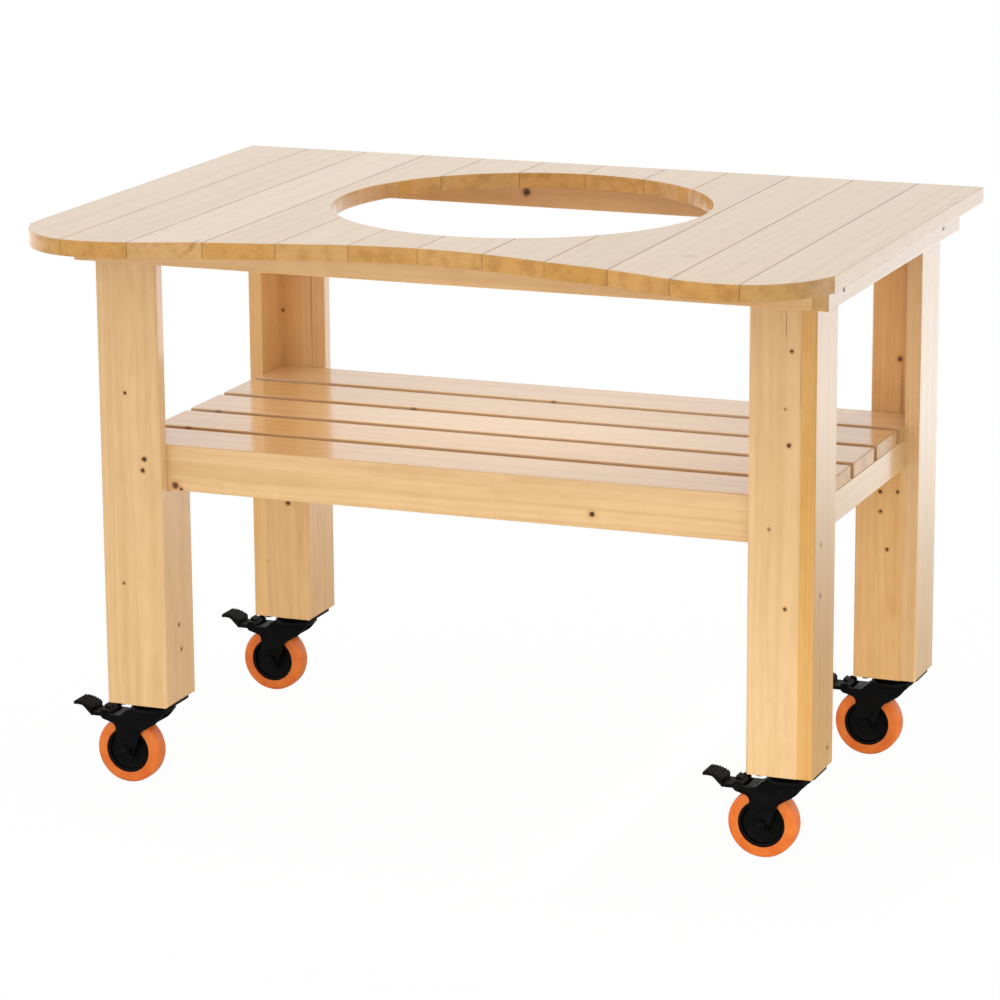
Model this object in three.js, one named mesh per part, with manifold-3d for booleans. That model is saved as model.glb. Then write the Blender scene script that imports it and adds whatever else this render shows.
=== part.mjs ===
// Kamado grill table on four braked casters.
// Millimetres, +Z up. X runs left to right, +Y runs from the front to the back.
// Each piece is modelled in place about the middle of the four legs, with the floor at zero.
// The whole table is then shifted so that its bounding box is centred on X and Y.
import * as THREE from 'three';
import { mergeVertices } from 'three/addons/utils/BufferGeometryUtils.js';
import Module from 'manifold-3d';

const wasm = await Module();
wasm.setup();

// Worktop
const BOARD_COUNT = 12;
const BOARD_WIDTH = 97.5;
const BOARD_GAP = 0.5;
const BOARD_THICKNESS = 23;
const BOARD_EASE = 0.8;
const WORKTOP_HEIGHT = 852;
const END_OVERHANG = 29.75;
const BACK_OVERHANG = 19;
const FRONT_OVERHANG = 71;
const CUTOUT_RADIUS = 273;
const CUTOUT_CENTRE_X = 6;
const CUTOUT_CENTRE_Y = -18;
const CUTOUT_ARC_POINTS = 8;
// How much further forward the two lobes of the front edge reach than its middle.
const FRONT_WAVE = 101;
// From the middle of the edge to a corner, as shares of the half length and of the wave.
const FRONT_EDGE_SHARES = [
  [0, 0],
  [0.17, 0.09],
  [0.34, 0.34],
  [0.51, 0.585],
  [0.68, 0.92],
  [0.8, 1],
  [0.887, 0.86],
  [0.955, 0.515],
  [1, 0],
];
const FRONT_EDGE_SAMPLES = 150;
// No point of the front edge lies nearer than this to a board's corner.
const FRONT_EDGE_SPACING = 3;

// Legs, which stand on the caster plates
const LEG_SIZE = 95;
const LEG_BOARD = 22;
const LEGS_DEPTH = 602;
const WOOD_EASE = 2;
const END_EASE = 1;
const EASE_SEGMENTS = 4;

// Apron, wrapped round the outside of the legs
const APRON_THICKNESS = 22;
const APRON_HEIGHT = 40;

// Shelf
const SHELF_TOP = 520;
const SLAT_COUNT = 5;
const SLAT_GAP = 14;
const SLAT_THICKNESS = 22;
const SLAT_EASE = 3;
const RAIL_HEIGHT = 45;
const RAIL_THICKNESS = 22;

// Caster plate and its bearing race
const PLATE_LENGTH = 92;
const PLATE_WIDTH = 68;
const PLATE_THICKNESS = 4;
const PLATE_CORNER = 9;
const RACE_RADIUS = 27;
const RACE_DEPTH = 6;
const RUNNING_GAP = 0.4;

// Caster wheel
const WHEEL_RADIUS = 50;
const WHEEL_FACETS = 32;
const WHEEL_TRAIL = 35;
const TREAD_WIDTH = 30;
const TREAD_DEPTH = 16;
const TREAD_SHOULDER = 5;
const TREAD_LIP = 1;
const HUB_RIM = 5;
const HUB_DISH = 5;
const BOSS_WALL = 7;
const BOSS_GAP = 0.5;
const AXLE_RADIUS = 6;
const AXLE_GAP = 0.3;
const AXLE_NUT_RADIUS = 10;
const AXLE_NUT_HEIGHT = 6;

// Caster fork
const CHEEK_THICKNESS = 3.5;
const CHEEK_SIDE_GAP = 3;
const CHEEK_END_RADIUS = 15;
const CHEEK_END_DEGREES = [180, 330];
const CHEEK_FRONT = 28;
const CHEEK_FRONT_DEPTH = 2;
const SHOULDER_FRONT = 16;
const SHOULDER_DROP = 17;
const THROAT_BACK = 10;
const THROAT_DROP = 33;
const SADDLE_BACK = 42;
const CROWN_BACK = 56;
const CROWN_THICKNESS = 2.5;
const NECK_BACK = 51;
const NECK_DROP = 24;
const HEAD_CLEARANCE = 14.6;
const HEAD_LIP = 4;
const HEAD_THICKNESS = 6;
const HEAD_FLARE = 3;
const KINGPIN_RADIUS = 9;
const KINGPIN_DEPTH = 5;
const EAR_RADIUS = 7;
const ROUND_FACETS = 32;
const SMALL_FACETS = 16;

// Brake pedal
const PIVOT_BEHIND_AXLE = 33;
const PIVOT_DROP = 10.6;
const PEDAL_PIN_RADIUS = 3;
const PEDAL_PIN_GAP = 0.3;
const PEDAL_SIDE_GAP = 1.5;
const KNUCKLE_RADIUS = 6;
const ARM_EXPOSED = 16;
const ARM_THICKNESS = 6;
const PAD_LENGTH = 29;
const PAD_WIDTH = 36;
const PAD_THICKNESS = 4.5;
const PAD_INNER_RISE = 6;
const PAD_TIP_RISE = 13;
const PAD_CROWN = 3;
const RIB_COUNT = 7;
const RIB_HEIGHT = 1.4;
const TAB_LENGTH = 8;
const TAB_FRONT = 2;
const TAB_WIDTH = 18;
const TAB_RISE = 11;
const TAB_SLOPE = 4;
const PEDAL_TRAVEL_DEGREES = 16;
const SHOE_WIDTH = 24;
const SHOE_THICKNESS = 6;
const SHOE_GAP = 0.5;

// Derived sizes
const BOARD_PITCH = BOARD_WIDTH + BOARD_GAP;
const WORKTOP_HALF_LENGTH = (BOARD_COUNT * BOARD_PITCH - BOARD_GAP) / 2;
const WORKTOP_UNDERSIDE = WORKTOP_HEIGHT - BOARD_THICKNESS;
const LEG_OUTER_X = WORKTOP_HALF_LENGTH - END_OVERHANG - APRON_THICKNESS;
const LEG_OUTER_Y = LEGS_DEPTH / 2;
const LEG_CENTRE_X = LEG_OUTER_X - LEG_SIZE / 2;
const LEG_CENTRE_Y = LEG_OUTER_Y - LEG_SIZE / 2;
const WORKTOP_BACK = LEG_OUTER_Y + APRON_THICKNESS + BACK_OVERHANG;
const FRONT_EDGE_MIDDLE = LEG_OUTER_Y + APRON_THICKNESS + FRONT_OVERHANG;
const CHEEK_TOP = 2 * WHEEL_RADIUS + HEAD_CLEARANCE;
const HEAD_TOP = CHEEK_TOP + HEAD_THICKNESS;
const HEAD_RADIUS = RACE_RADIUS + HEAD_LIP;
const RACE_BOTTOM = HEAD_TOP + RUNNING_GAP;
const PLATE_BOTTOM = RACE_BOTTOM + RACE_DEPTH;
const LEG_BOTTOM = PLATE_BOTTOM + PLATE_THICKNESS;
const LEG_HEIGHT = WORKTOP_UNDERSIDE - LEG_BOTTOM;
const POST_WIDTH = LEG_SIZE - LEG_BOARD;
const POCKET_FLOOR = SHELF_TOP - SLAT_THICKNESS - RAIL_HEIGHT;
const SHELF_HALF_LENGTH = LEG_OUTER_X - LEG_BOARD;
const SHELF_HALF_DEPTH = LEG_OUTER_Y - LEG_BOARD;
const SLAT_WIDTH = (2 * SHELF_HALF_DEPTH - (SLAT_COUNT - 1) * SLAT_GAP) / SLAT_COUNT;
const RAIL_CENTRE_Z = POCKET_FLOOR + RAIL_HEIGHT / 2;
const APRON_CENTRE_Z = WORKTOP_UNDERSIDE - APRON_HEIGHT / 2;
const WHEEL_CORNER_RADIUS = WHEEL_RADIUS / Math.cos(Math.PI / WHEEL_FACETS);
const HUB_RADIUS = WHEEL_RADIUS - TREAD_DEPTH;
const HUB_WIDTH = TREAD_WIDTH - 2 * TREAD_LIP;
const CHEEK_GAP = TREAD_WIDTH + 2 * CHEEK_SIDE_GAP;
const BOSS_WIDTH = CHEEK_GAP - 2 * BOSS_GAP;
const BOSS_RADIUS = AXLE_RADIUS + BOSS_WALL;
const ARM_WIDTH = CHEEK_GAP - 2 * PEDAL_SIDE_GAP;
const PIVOT_BACK = WHEEL_TRAIL + PIVOT_BEHIND_AXLE;
const PIVOT_HEIGHT = CHEEK_TOP - PIVOT_DROP;
const PAD_INNER = PIVOT_BACK + EAR_RADIUS + ARM_EXPOSED;
const PEDAL_REACH = PAD_INNER + PAD_LENGTH;
const PEDAL_TRAVEL = THREE.MathUtils.degToRad(PEDAL_TRAVEL_DEGREES);
const RECTANGLE_CORNERS = [[1, 1], [-1, 1], [-1, -1], [1, -1]];

// Materials

function wood(colour, roughness) {
  return new THREE.MeshStandardMaterial({ color: colour, roughness, metalness: 0 });
}

function worktopWood() {
  return wood('#ead9c0', 0.35);
}

function apronWood() {
  return wood('#d9ad72', 0.4);
}

function legWood() {
  return wood('#e2b981', 0.38);
}

function shelfWood() {
  return wood('#e6c59b', 0.35);
}

function blackSteel() {
  return new THREE.MeshStandardMaterial({ color: '#1b1b1d', roughness: 0.45, metalness: 0.6 });
}

function blackPlastic() {
  return new THREE.MeshStandardMaterial({ color: '#1d1c1c', roughness: 0.55, metalness: 0 });
}

function orangePolyurethane() {
  return new THREE.MeshStandardMaterial({ color: '#eb7a27', roughness: 0.4, metalness: 0 });
}

// Solids and booleans

function toManifold(geometry) {
  const plain = geometry.clone();
  plain.deleteAttribute('normal');
  plain.deleteAttribute('uv');
  const welded = mergeVertices(plain);
  const vertProperties = new Float32Array(welded.attributes.position.array);
  const triVerts = new Uint32Array(welded.index.array);
  return new wasm.Manifold(new wasm.Mesh({ numProp: 3, vertProperties, triVerts }));
}

function toGeometry(manifold) {
  const mesh = manifold.getMesh();
  const geometry = new THREE.BufferGeometry();
  geometry.setAttribute('position', new THREE.BufferAttribute(mesh.vertProperties, 3));
  geometry.setIndex(new THREE.BufferAttribute(mesh.triVerts, 1));
  geometry.computeVertexNormals();
  return geometry;
}

function joined(geometries) {
  const [first, ...rest] = geometries.map(toManifold);
  return rest.reduce((sum, next) => sum.add(next), first);
}

function named(name, geometry, material) {
  const mesh = new THREE.Mesh(geometry, material);
  mesh.name = name;
  return mesh;
}

// A rectangle centred on zero. Its two corners towards -X and its two towards +X are rounded apart, so that
// an edge that meets a neighbour flush can stay sharp.
function easedRectangle(width, height, minusEase, plusEase) {
  const points = [];
  RECTANGLE_CORNERS.forEach(([sideX, sideY], quarter) => {
    const ease = sideX > 0 ? plusEase : minusEase;
    const x = sideX * (width / 2 - ease);
    const y = sideY * (height / 2 - ease);
    const from = quarter * Math.PI / 2;
    const arc = new THREE.EllipseCurve(x, y, ease, ease, from, from + Math.PI / 2);
    points.push(...(ease > 0 ? arc.getPoints(EASE_SEGMENTS) : [new THREE.Vector2(x, y)]));
  });
  return new THREE.Shape(points);
}

// A planed bar along Z, centred on zero, with slightly eased ends.
function barAlongZ(width, depth, length, minusEase, plusEase) {
  const geometry = new THREE.ExtrudeGeometry(easedRectangle(width, depth, minusEase, plusEase), {
    depth: length - 2 * END_EASE,
    bevelThickness: END_EASE,
    bevelSize: END_EASE,
    bevelOffset: -END_EASE,
    bevelSegments: 1,
  });
  return geometry.translate(0, 0, END_EASE - length / 2);
}

function barAlongX(length, depth, height, bottomEase, topEase) {
  return barAlongZ(height, depth, length, topEase, bottomEase).rotateY(Math.PI / 2);
}

function barAlongY(width, length, height, ease) {
  return barAlongZ(width, height, length, ease, ease).rotateX(-Math.PI / 2);
}

// An outline of X and Z points, extruded along Y and centred on zero in Y.
function slab(points, width) {
  const shape = new THREE.Shape(points.map(([x, z]) => new THREE.Vector2(x, z)));
  const geometry = new THREE.ExtrudeGeometry(shape, { depth: width, bevelEnabled: false });
  return geometry.rotateX(Math.PI / 2).translate(0, width / 2, 0);
}

function discAlongY(radius, width, facets) {
  return new THREE.CylinderGeometry(radius, radius, width, facets);
}

// Worktop

// The front edge as one smooth curve, from the left end to the right end.
function frontEdgeCurve() {
  const edgePoint = (side, [along, wave]) => new THREE.Vector2(
    side * along * WORKTOP_HALF_LENGTH,
    -FRONT_EDGE_MIDDLE - wave * FRONT_WAVE,
  );
  const right = FRONT_EDGE_SHARES.map((shares) => edgePoint(1, shares));
  const left = FRONT_EDGE_SHARES.slice(1).map((shares) => edgePoint(-1, shares));
  return new THREE.SplineCurve([...left.reverse(), ...right]);
}

const FRONT_EDGE_POINTS = frontEdgeCurve().getPoints(FRONT_EDGE_SAMPLES);

function frontEdgeAt(x) {
  const next = FRONT_EDGE_POINTS.findIndex((point, index) => index > 0 && point.x >= x);
  const low = FRONT_EDGE_POINTS[next - 1];
  const high = FRONT_EDGE_POINTS[next];
  const share = (x - low.x) / (high.x - low.x);
  return THREE.MathUtils.lerp(low.y, high.y, share);
}

function frontEdgeBetween(left, right) {
  const inner = FRONT_EDGE_POINTS.filter(
    (point) => point.x > left + FRONT_EDGE_SPACING && point.x < right - FRONT_EDGE_SPACING,
  );
  return [
    new THREE.Vector2(left, frontEdgeAt(left)),
    ...inner,
    new THREE.Vector2(right, frontEdgeAt(right)),
  ];
}

// The angle at the cut-out's centre, from +X, of the rim point that lies at this X on its back side.
function cutoutAngle(x) {
  return Math.acos((x - CUTOUT_CENTRE_X) / CUTOUT_RADIUS);
}

// Points on the cut-out's rim between two angles, always going clockwise as seen from above.
function cutoutArc(fromAngle, toAngle, count) {
  const curve = new THREE.EllipseCurve(
    CUTOUT_CENTRE_X, CUTOUT_CENTRE_Y, CUTOUT_RADIUS, CUTOUT_RADIUS, fromAngle, toAngle, true,
  );
  return curve.getPoints(count);
}

function boardGeometry(outline) {
  const geometry = new THREE.ExtrudeGeometry(new THREE.Shape(outline), {
    depth: BOARD_THICKNESS - 2 * BOARD_EASE,
    bevelThickness: BOARD_EASE,
    bevelSize: BOARD_EASE,
    bevelOffset: -BOARD_EASE,
    bevelSegments: 1,
  });
  return geometry.translate(0, 0, WORKTOP_UNDERSIDE + BOARD_EASE);
}

function fullBoardOutline(left, right) {
  return [
    ...frontEdgeBetween(left, right),
    new THREE.Vector2(right, WORKTOP_BACK),
    new THREE.Vector2(left, WORKTOP_BACK),
  ];
}

function frontPieceOutline(left, right) {
  const rim = cutoutArc(-cutoutAngle(right), -cutoutAngle(left), CUTOUT_ARC_POINTS);
  return [...frontEdgeBetween(left, right), ...rim];
}

function backPieceOutline(left, right) {
  return [
    ...cutoutArc(cutoutAngle(left), cutoutAngle(right), CUTOUT_ARC_POINTS),
    new THREE.Vector2(right, WORKTOP_BACK),
    new THREE.Vector2(left, WORKTOP_BACK),
  ];
}

// A board that the cut-out bites into from its left edge.
function boardBittenOnLeft(left, right) {
  const reach = cutoutAngle(left);
  return [...fullBoardOutline(left, right), ...cutoutArc(reach, -reach, 2 * CUTOUT_ARC_POINTS)];
}

// A board that the cut-out bites into from its right edge.
function boardBittenOnRight(left, right) {
  const reach = cutoutAngle(right);
  return [
    ...frontEdgeBetween(left, right),
    ...cutoutArc(-reach, reach, 2 * CUTOUT_ARC_POINTS),
    new THREE.Vector2(right, WORKTOP_BACK),
    new THREE.Vector2(left, WORKTOP_BACK),
  ];
}

function insideCutout(x) {
  return Math.abs(x - CUTOUT_CENTRE_X) < CUTOUT_RADIUS;
}

function worktop() {
  const boards = [];
  for (let index = 0; index < BOARD_COUNT; index += 1) {
    const left = index * BOARD_PITCH - WORKTOP_HALF_LENGTH;
    const right = left + BOARD_WIDTH;
    const name = `worktop_board_${String(index + 1).padStart(2, '0')}`;
    if (insideCutout(left) && insideCutout(right)) {
      boards.push(named(name, boardGeometry(frontPieceOutline(left, right)), worktopWood()));
      boards.push(named(`${name}_back`, boardGeometry(backPieceOutline(left, right)), worktopWood()));
    } else if (insideCutout(left)) {
      boards.push(named(name, boardGeometry(boardBittenOnLeft(left, right)), worktopWood()));
    } else if (insideCutout(right)) {
      boards.push(named(name, boardGeometry(boardBittenOnRight(left, right)), worktopWood()));
    } else {
      boards.push(named(name, boardGeometry(fullBoardOutline(left, right)), worktopWood()));
    }
  }
  return boards;
}

// Apron

function longApron(name, side) {
  const geometry = barAlongX(2 * LEG_OUTER_X, APRON_THICKNESS, APRON_HEIGHT, WOOD_EASE, WOOD_EASE);
  const mesh = named(name, geometry, apronWood());
  mesh.position.set(0, side * (LEG_OUTER_Y + APRON_THICKNESS / 2), APRON_CENTRE_Z);
  return mesh;
}

function endApron(name, side) {
  const length = 2 * (LEG_OUTER_Y + APRON_THICKNESS);
  const geometry = barAlongY(APRON_THICKNESS, length, APRON_HEIGHT, WOOD_EASE);
  const mesh = named(name, geometry, apronWood());
  mesh.position.set(side * (LEG_OUTER_X + APRON_THICKNESS / 2), 0, APRON_CENTRE_Z);
  return mesh;
}

function apron() {
  return [
    longApron('apron_front', -1),
    longApron('apron_back', 1),
    endApron('apron_left', -1),
    endApron('apron_right', 1),
  ];
}

// Legs

// The post's side view, for a leg at the back: full depth below the pocket, a thin tongue above it.
function legPostGeometry(sideX, sideY) {
  const inner = -LEG_SIZE / 2;
  const tongue = LEG_SIZE / 2 - LEG_BOARD;
  const outer = LEG_SIZE / 2;
  const pocket = POCKET_FLOOR - LEG_BOTTOM;
  const corners = [
    [inner, 0],
    [outer, 0],
    [outer, LEG_HEIGHT],
    [tongue, LEG_HEIGHT],
    [tongue, pocket],
    [inner, pocket],
  ];
  const points = corners.map(([y, z]) => new THREE.Vector2(sideY * y, z));
  const geometry = new THREE.ExtrudeGeometry(new THREE.Shape(points), {
    depth: POST_WIDTH,
    bevelThickness: WOOD_EASE,
    bevelSize: WOOD_EASE,
    bevelOffset: -WOOD_EASE,
    bevelSegments: 1,
  });
  geometry.translate(0, 0, -POST_WIDTH / 2);
  // The outline's first axis becomes Y, its second becomes Z, and the extrusion runs along X.
  geometry.applyMatrix4(new THREE.Matrix4().makeBasis(
    new THREE.Vector3(0, 1, 0), new THREE.Vector3(0, 0, 1), new THREE.Vector3(1, 0, 0),
  ));
  geometry.translate(sideX * WOOD_EASE, 0, 0);
  // Trimmed where the side board meets it, so that this end stays sharp.
  return toGeometry(toManifold(geometry).trimByPlane([-sideX, 0, 0], -POST_WIDTH / 2));
}

function leg(place, sideX, sideY) {
  const group = new THREE.Group();
  group.position.set(sideX * LEG_CENTRE_X, sideY * LEG_CENTRE_Y, LEG_BOTTOM);
  const post = named(`leg_post_${place}`, legPostGeometry(sideX, sideY), legWood());
  post.position.x = -sideX * LEG_BOARD / 2;
  const boardEases = sideX > 0 ? [0, WOOD_EASE] : [WOOD_EASE, 0];
  const boardBar = barAlongZ(LEG_BOARD, LEG_SIZE, LEG_HEIGHT, ...boardEases);
  const board = named(`leg_side_board_${place}`, boardBar, legWood());
  board.position.set(sideX * (LEG_SIZE - LEG_BOARD) / 2, 0, LEG_HEIGHT / 2);
  group.add(post, board);
  return group;
}

// Shelf

function shelfSlats() {
  const slats = [];
  for (let index = 0; index < SLAT_COUNT; index += 1) {
    const geometry = barAlongX(2 * SHELF_HALF_LENGTH, SLAT_WIDTH, SLAT_THICKNESS, 0, SLAT_EASE);
    const slat = named(`shelf_slat_${index + 1}`, geometry, shelfWood());
    const y = SLAT_WIDTH / 2 - SHELF_HALF_DEPTH + index * (SLAT_WIDTH + SLAT_GAP);
    slat.position.set(0, y, SHELF_TOP - SLAT_THICKNESS / 2);
    slats.push(slat);
  }
  return slats;
}

function longShelfRail(name, side) {
  const geometry = barAlongX(2 * SHELF_HALF_LENGTH, RAIL_THICKNESS, RAIL_HEIGHT, WOOD_EASE, 0);
  const rail = named(name, geometry, shelfWood());
  rail.position.set(0, side * (SHELF_HALF_DEPTH - RAIL_THICKNESS / 2), RAIL_CENTRE_Z);
  return rail;
}

function crossShelfRail(name, x) {
  const length = 2 * (SHELF_HALF_DEPTH - RAIL_THICKNESS);
  const rail = named(name, barAlongY(RAIL_THICKNESS, length, RAIL_HEIGHT, WOOD_EASE), shelfWood());
  rail.position.set(x, 0, RAIL_CENTRE_Z);
  return rail;
}

function shelf() {
  const endRailX = SHELF_HALF_LENGTH - RAIL_THICKNESS / 2;
  return [
    ...shelfSlats(),
    longShelfRail('shelf_rail_front', -1),
    longShelfRail('shelf_rail_back', 1),
    crossShelfRail('shelf_rail_left', -endRailX),
    crossShelfRail('shelf_rail_right', endRailX),
    crossShelfRail('shelf_middle_bearer', 0),
  ];
}

// Casters, about the swivel axis with the floor at zero. The wheel trails towards -X.

function casterPlate(place) {
  const outline = easedRectangle(PLATE_LENGTH, PLATE_WIDTH, PLATE_CORNER, PLATE_CORNER);
  const plate = new THREE.ExtrudeGeometry(outline, { depth: PLATE_THICKNESS, bevelEnabled: false })
    .translate(0, 0, PLATE_BOTTOM);
  // The race's top stands inside the plate, so that the two join.
  const raceTop = PLATE_BOTTOM + PLATE_THICKNESS / 2;
  const race = new THREE.CylinderGeometry(RACE_RADIUS, RACE_RADIUS, raceTop - RACE_BOTTOM, ROUND_FACETS)
    .rotateX(Math.PI / 2)
    .translate(0, 0, (raceTop + RACE_BOTTOM) / 2);
  return named(`caster_plate_${place}`, toGeometry(joined([plate, race])), blackSteel());
}

function arcPoints(x, z, radius, fromDegrees, toDegrees) {
  const from = THREE.MathUtils.degToRad(fromDegrees);
  const to = THREE.MathUtils.degToRad(toDegrees);
  const curve = new THREE.EllipseCurve(x, z, radius, radius, from, to);
  return curve.getPoints(SMALL_FACETS / 2).map((point) => [point.x, point.y]);
}

// One cheek's outline: from the head down to a round end about the axle, with an ear for the pedal's pin.
function cheekOutline() {
  return [
    [CHEEK_FRONT, CHEEK_TOP],
    [-HEAD_RADIUS, CHEEK_TOP],
    [-SADDLE_BACK, PIVOT_HEIGHT],
    ...arcPoints(-PIVOT_BACK, PIVOT_HEIGHT, EAR_RADIUS, 0, 270),
    [-NECK_BACK, CHEEK_TOP - NECK_DROP],
    ...arcPoints(-WHEEL_TRAIL, WHEEL_RADIUS, CHEEK_END_RADIUS, ...CHEEK_END_DEGREES),
    [-THROAT_BACK, CHEEK_TOP - THROAT_DROP],
    [SHOULDER_FRONT, CHEEK_TOP - SHOULDER_DROP],
    [CHEEK_FRONT, CHEEK_TOP - CHEEK_FRONT_DEPTH],
  ];
}

// The turned head under the race, with the king pin's nut below it.
function forkHead() {
  const underside = CHEEK_TOP - HEAD_THICKNESS / 2;
  const profile = [
    new THREE.Vector2(0, underside - KINGPIN_DEPTH),
    new THREE.Vector2(KINGPIN_RADIUS, underside - KINGPIN_DEPTH),
    new THREE.Vector2(KINGPIN_RADIUS, underside),
    new THREE.Vector2(HEAD_RADIUS, underside),
    new THREE.Vector2(HEAD_RADIUS, HEAD_TOP - HEAD_FLARE),
    new THREE.Vector2(HEAD_RADIUS - HEAD_FLARE, HEAD_TOP),
    new THREE.Vector2(0, HEAD_TOP),
  ];
  return new THREE.LatheGeometry(profile, ROUND_FACETS).rotateX(Math.PI / 2);
}

// The sheet that joins the cheeks over the tread, behind the head.
function forkCrown() {
  const outline = [
    [CROWN_THICKNESS - HEAD_RADIUS, CHEEK_TOP],
    [-HEAD_RADIUS, CHEEK_TOP],
    [-SADDLE_BACK, PIVOT_HEIGHT],
    [-CROWN_BACK, PIVOT_HEIGHT],
    [-CROWN_BACK, PIVOT_HEIGHT - CROWN_THICKNESS],
    [CROWN_THICKNESS - SADDLE_BACK, PIVOT_HEIGHT - CROWN_THICKNESS],
  ];
  return slab(outline, CHEEK_GAP + CHEEK_THICKNESS);
}

function casterFork(place) {
  const cheekOffset = (CHEEK_GAP + CHEEK_THICKNESS) / 2;
  const width = CHEEK_GAP + 2 * CHEEK_THICKNESS;
  const cheeks = [-1, 1].map(
    (side) => slab(cheekOutline(), CHEEK_THICKNESS).translate(0, side * cheekOffset, 0),
  );
  const axle = discAlongY(AXLE_RADIUS, width, SMALL_FACETS).translate(-WHEEL_TRAIL, 0, WHEEL_RADIUS);
  const nuts = [-1, 1].map((side) => discAlongY(AXLE_NUT_RADIUS, AXLE_NUT_HEIGHT, 6)
    .translate(-WHEEL_TRAIL, side * (width + AXLE_NUT_HEIGHT - CHEEK_THICKNESS) / 2, WHEEL_RADIUS));
  const pin = discAlongY(PEDAL_PIN_RADIUS, width, SMALL_FACETS).translate(-PIVOT_BACK, 0, PIVOT_HEIGHT);
  const fork = joined([forkHead(), forkCrown(), ...cheeks, axle, ...nuts, pin]);
  return named(`caster_fork_${place}`, toGeometry(fork), blackSteel());
}

// A ring turned about Y from a closed profile of radius and width pairs.
function turnedRing(profile) {
  const points = [...profile, profile[0]].map(([radius, y]) => new THREE.Vector2(radius, y));
  const phase = Math.PI / WHEEL_FACETS;
  return new THREE.LatheGeometry(points, WHEEL_FACETS, phase, Math.PI * 2)
    .translate(-WHEEL_TRAIL, 0, WHEEL_RADIUS);
}

function casterTread(place) {
  const half = TREAD_WIDTH / 2;
  const shoulder = WHEEL_CORNER_RADIUS - TREAD_SHOULDER;
  const soft = TREAD_SHOULDER * (1 - Math.SQRT1_2);
  const profile = [
    [HUB_RADIUS, -half],
    [shoulder, -half],
    [WHEEL_CORNER_RADIUS - soft, soft - half],
    [WHEEL_CORNER_RADIUS, TREAD_SHOULDER - half],
    [WHEEL_CORNER_RADIUS, half - TREAD_SHOULDER],
    [WHEEL_CORNER_RADIUS - soft, half - soft],
    [shoulder, half],
    [HUB_RADIUS, half],
  ];
  return named(`caster_tread_${place}`, turnedRing(profile), orangePolyurethane());
}

function casterHub(place) {
  const half = HUB_WIDTH / 2;
  const web = half - HUB_DISH;
  const bore = AXLE_RADIUS + AXLE_GAP;
  const rim = HUB_RADIUS - HUB_RIM;
  const profile = [
    [bore, -BOSS_WIDTH / 2],
    [BOSS_RADIUS, -BOSS_WIDTH / 2],
    [BOSS_RADIUS, -web],
    [rim, -web],
    [rim, -half],
    [HUB_RADIUS, -half],
    [HUB_RADIUS, half],
    [rim, half],
    [rim, web],
    [BOSS_RADIUS, web],
    [BOSS_RADIUS, BOSS_WIDTH / 2],
    [bore, BOSS_WIDTH / 2],
  ];
  return named(`caster_hub_${place}`, turnedRing(profile), blackPlastic());
}

// The pad's top line, from its inner end to its tip, with its ribs as low teeth.
function padTop() {
  const inner = new THREE.Vector2(-PAD_INNER, PIVOT_HEIGHT + PAD_INNER_RISE);
  const tip = new THREE.Vector2(-PEDAL_REACH, PIVOT_HEIGHT + PAD_TIP_RISE);
  const middle = inner.clone().add(tip).divideScalar(2);
  middle.y += 2 * PAD_CROWN;
  const line = new THREE.QuadraticBezierCurve(inner, middle, tip);
  const points = [];
  for (let rib = 0; rib < RIB_COUNT; rib += 1) {
    const start = line.getPoint(rib / RIB_COUNT);
    const end = line.getPoint((rib + 1 / 2) / RIB_COUNT);
    points.push([start.x, start.y], [start.x, start.y + RIB_HEIGHT]);
    points.push([end.x, end.y + RIB_HEIGHT], [end.x, end.y]);
  }
  points.push([tip.x, tip.y]);
  return points;
}

// A thin curved plate that bends down into the arm at its inner end.
function pedalPad() {
  const middleRise = (PAD_INNER_RISE + PAD_TIP_RISE) / 2 + PAD_CROWN;
  const outline = [
    ...padTop(),
    [-PEDAL_REACH, PIVOT_HEIGHT + PAD_TIP_RISE - PAD_THICKNESS],
    [-PAD_INNER - PAD_LENGTH / 2, PIVOT_HEIGHT + middleRise - PAD_THICKNESS],
    [-PAD_INNER, PIVOT_HEIGHT - ARM_THICKNESS],
  ];
  return slab(outline, PAD_WIDTH);
}

function pedalArm() {
  const end = PAD_INNER + PAD_THICKNESS / 2;
  const outline = [
    [-PIVOT_BACK, PIVOT_HEIGHT],
    [-end, PIVOT_HEIGHT],
    [-end, PIVOT_HEIGHT - ARM_THICKNESS],
    [-PIVOT_BACK, PIVOT_HEIGHT - ARM_THICKNESS],
  ];
  return slab(outline, ARM_WIDTH);
}

function pedalKnuckle() {
  return discAlongY(KNUCKLE_RADIUS, ARM_WIDTH, SMALL_FACETS).translate(-PIVOT_BACK, 0, PIVOT_HEIGHT);
}

// The release tab stands up over the pin, between the pad and the bearing race.
function pedalTab() {
  const front = TAB_FRONT - PIVOT_BACK;
  const back = front - TAB_LENGTH;
  const outline = [
    [front, PIVOT_HEIGHT + TAB_RISE - TAB_SLOPE],
    [front, PIVOT_HEIGHT],
    [back, PIVOT_HEIGHT],
    [back, PIVOT_HEIGHT + TAB_RISE],
  ];
  return slab(outline, TAB_WIDTH);
}

// The brake shoe points at the axle when the pedal is fully down, and stops just off the tread.
function pedalShoe() {
  const toAxle = new THREE.Vector2(PIVOT_BEHIND_AXLE, WHEEL_RADIUS - PIVOT_HEIGHT);
  const length = toAxle.length() - WHEEL_CORNER_RADIUS - SHOE_GAP;
  const angle = toAxle.angle() - PEDAL_TRAVEL;
  return new THREE.BoxGeometry(length, SHOE_WIDTH, SHOE_THICKNESS)
    .translate(length / 2, 0, 0)
    .rotateY(-angle)
    .translate(-PIVOT_BACK, 0, PIVOT_HEIGHT);
}

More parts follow.
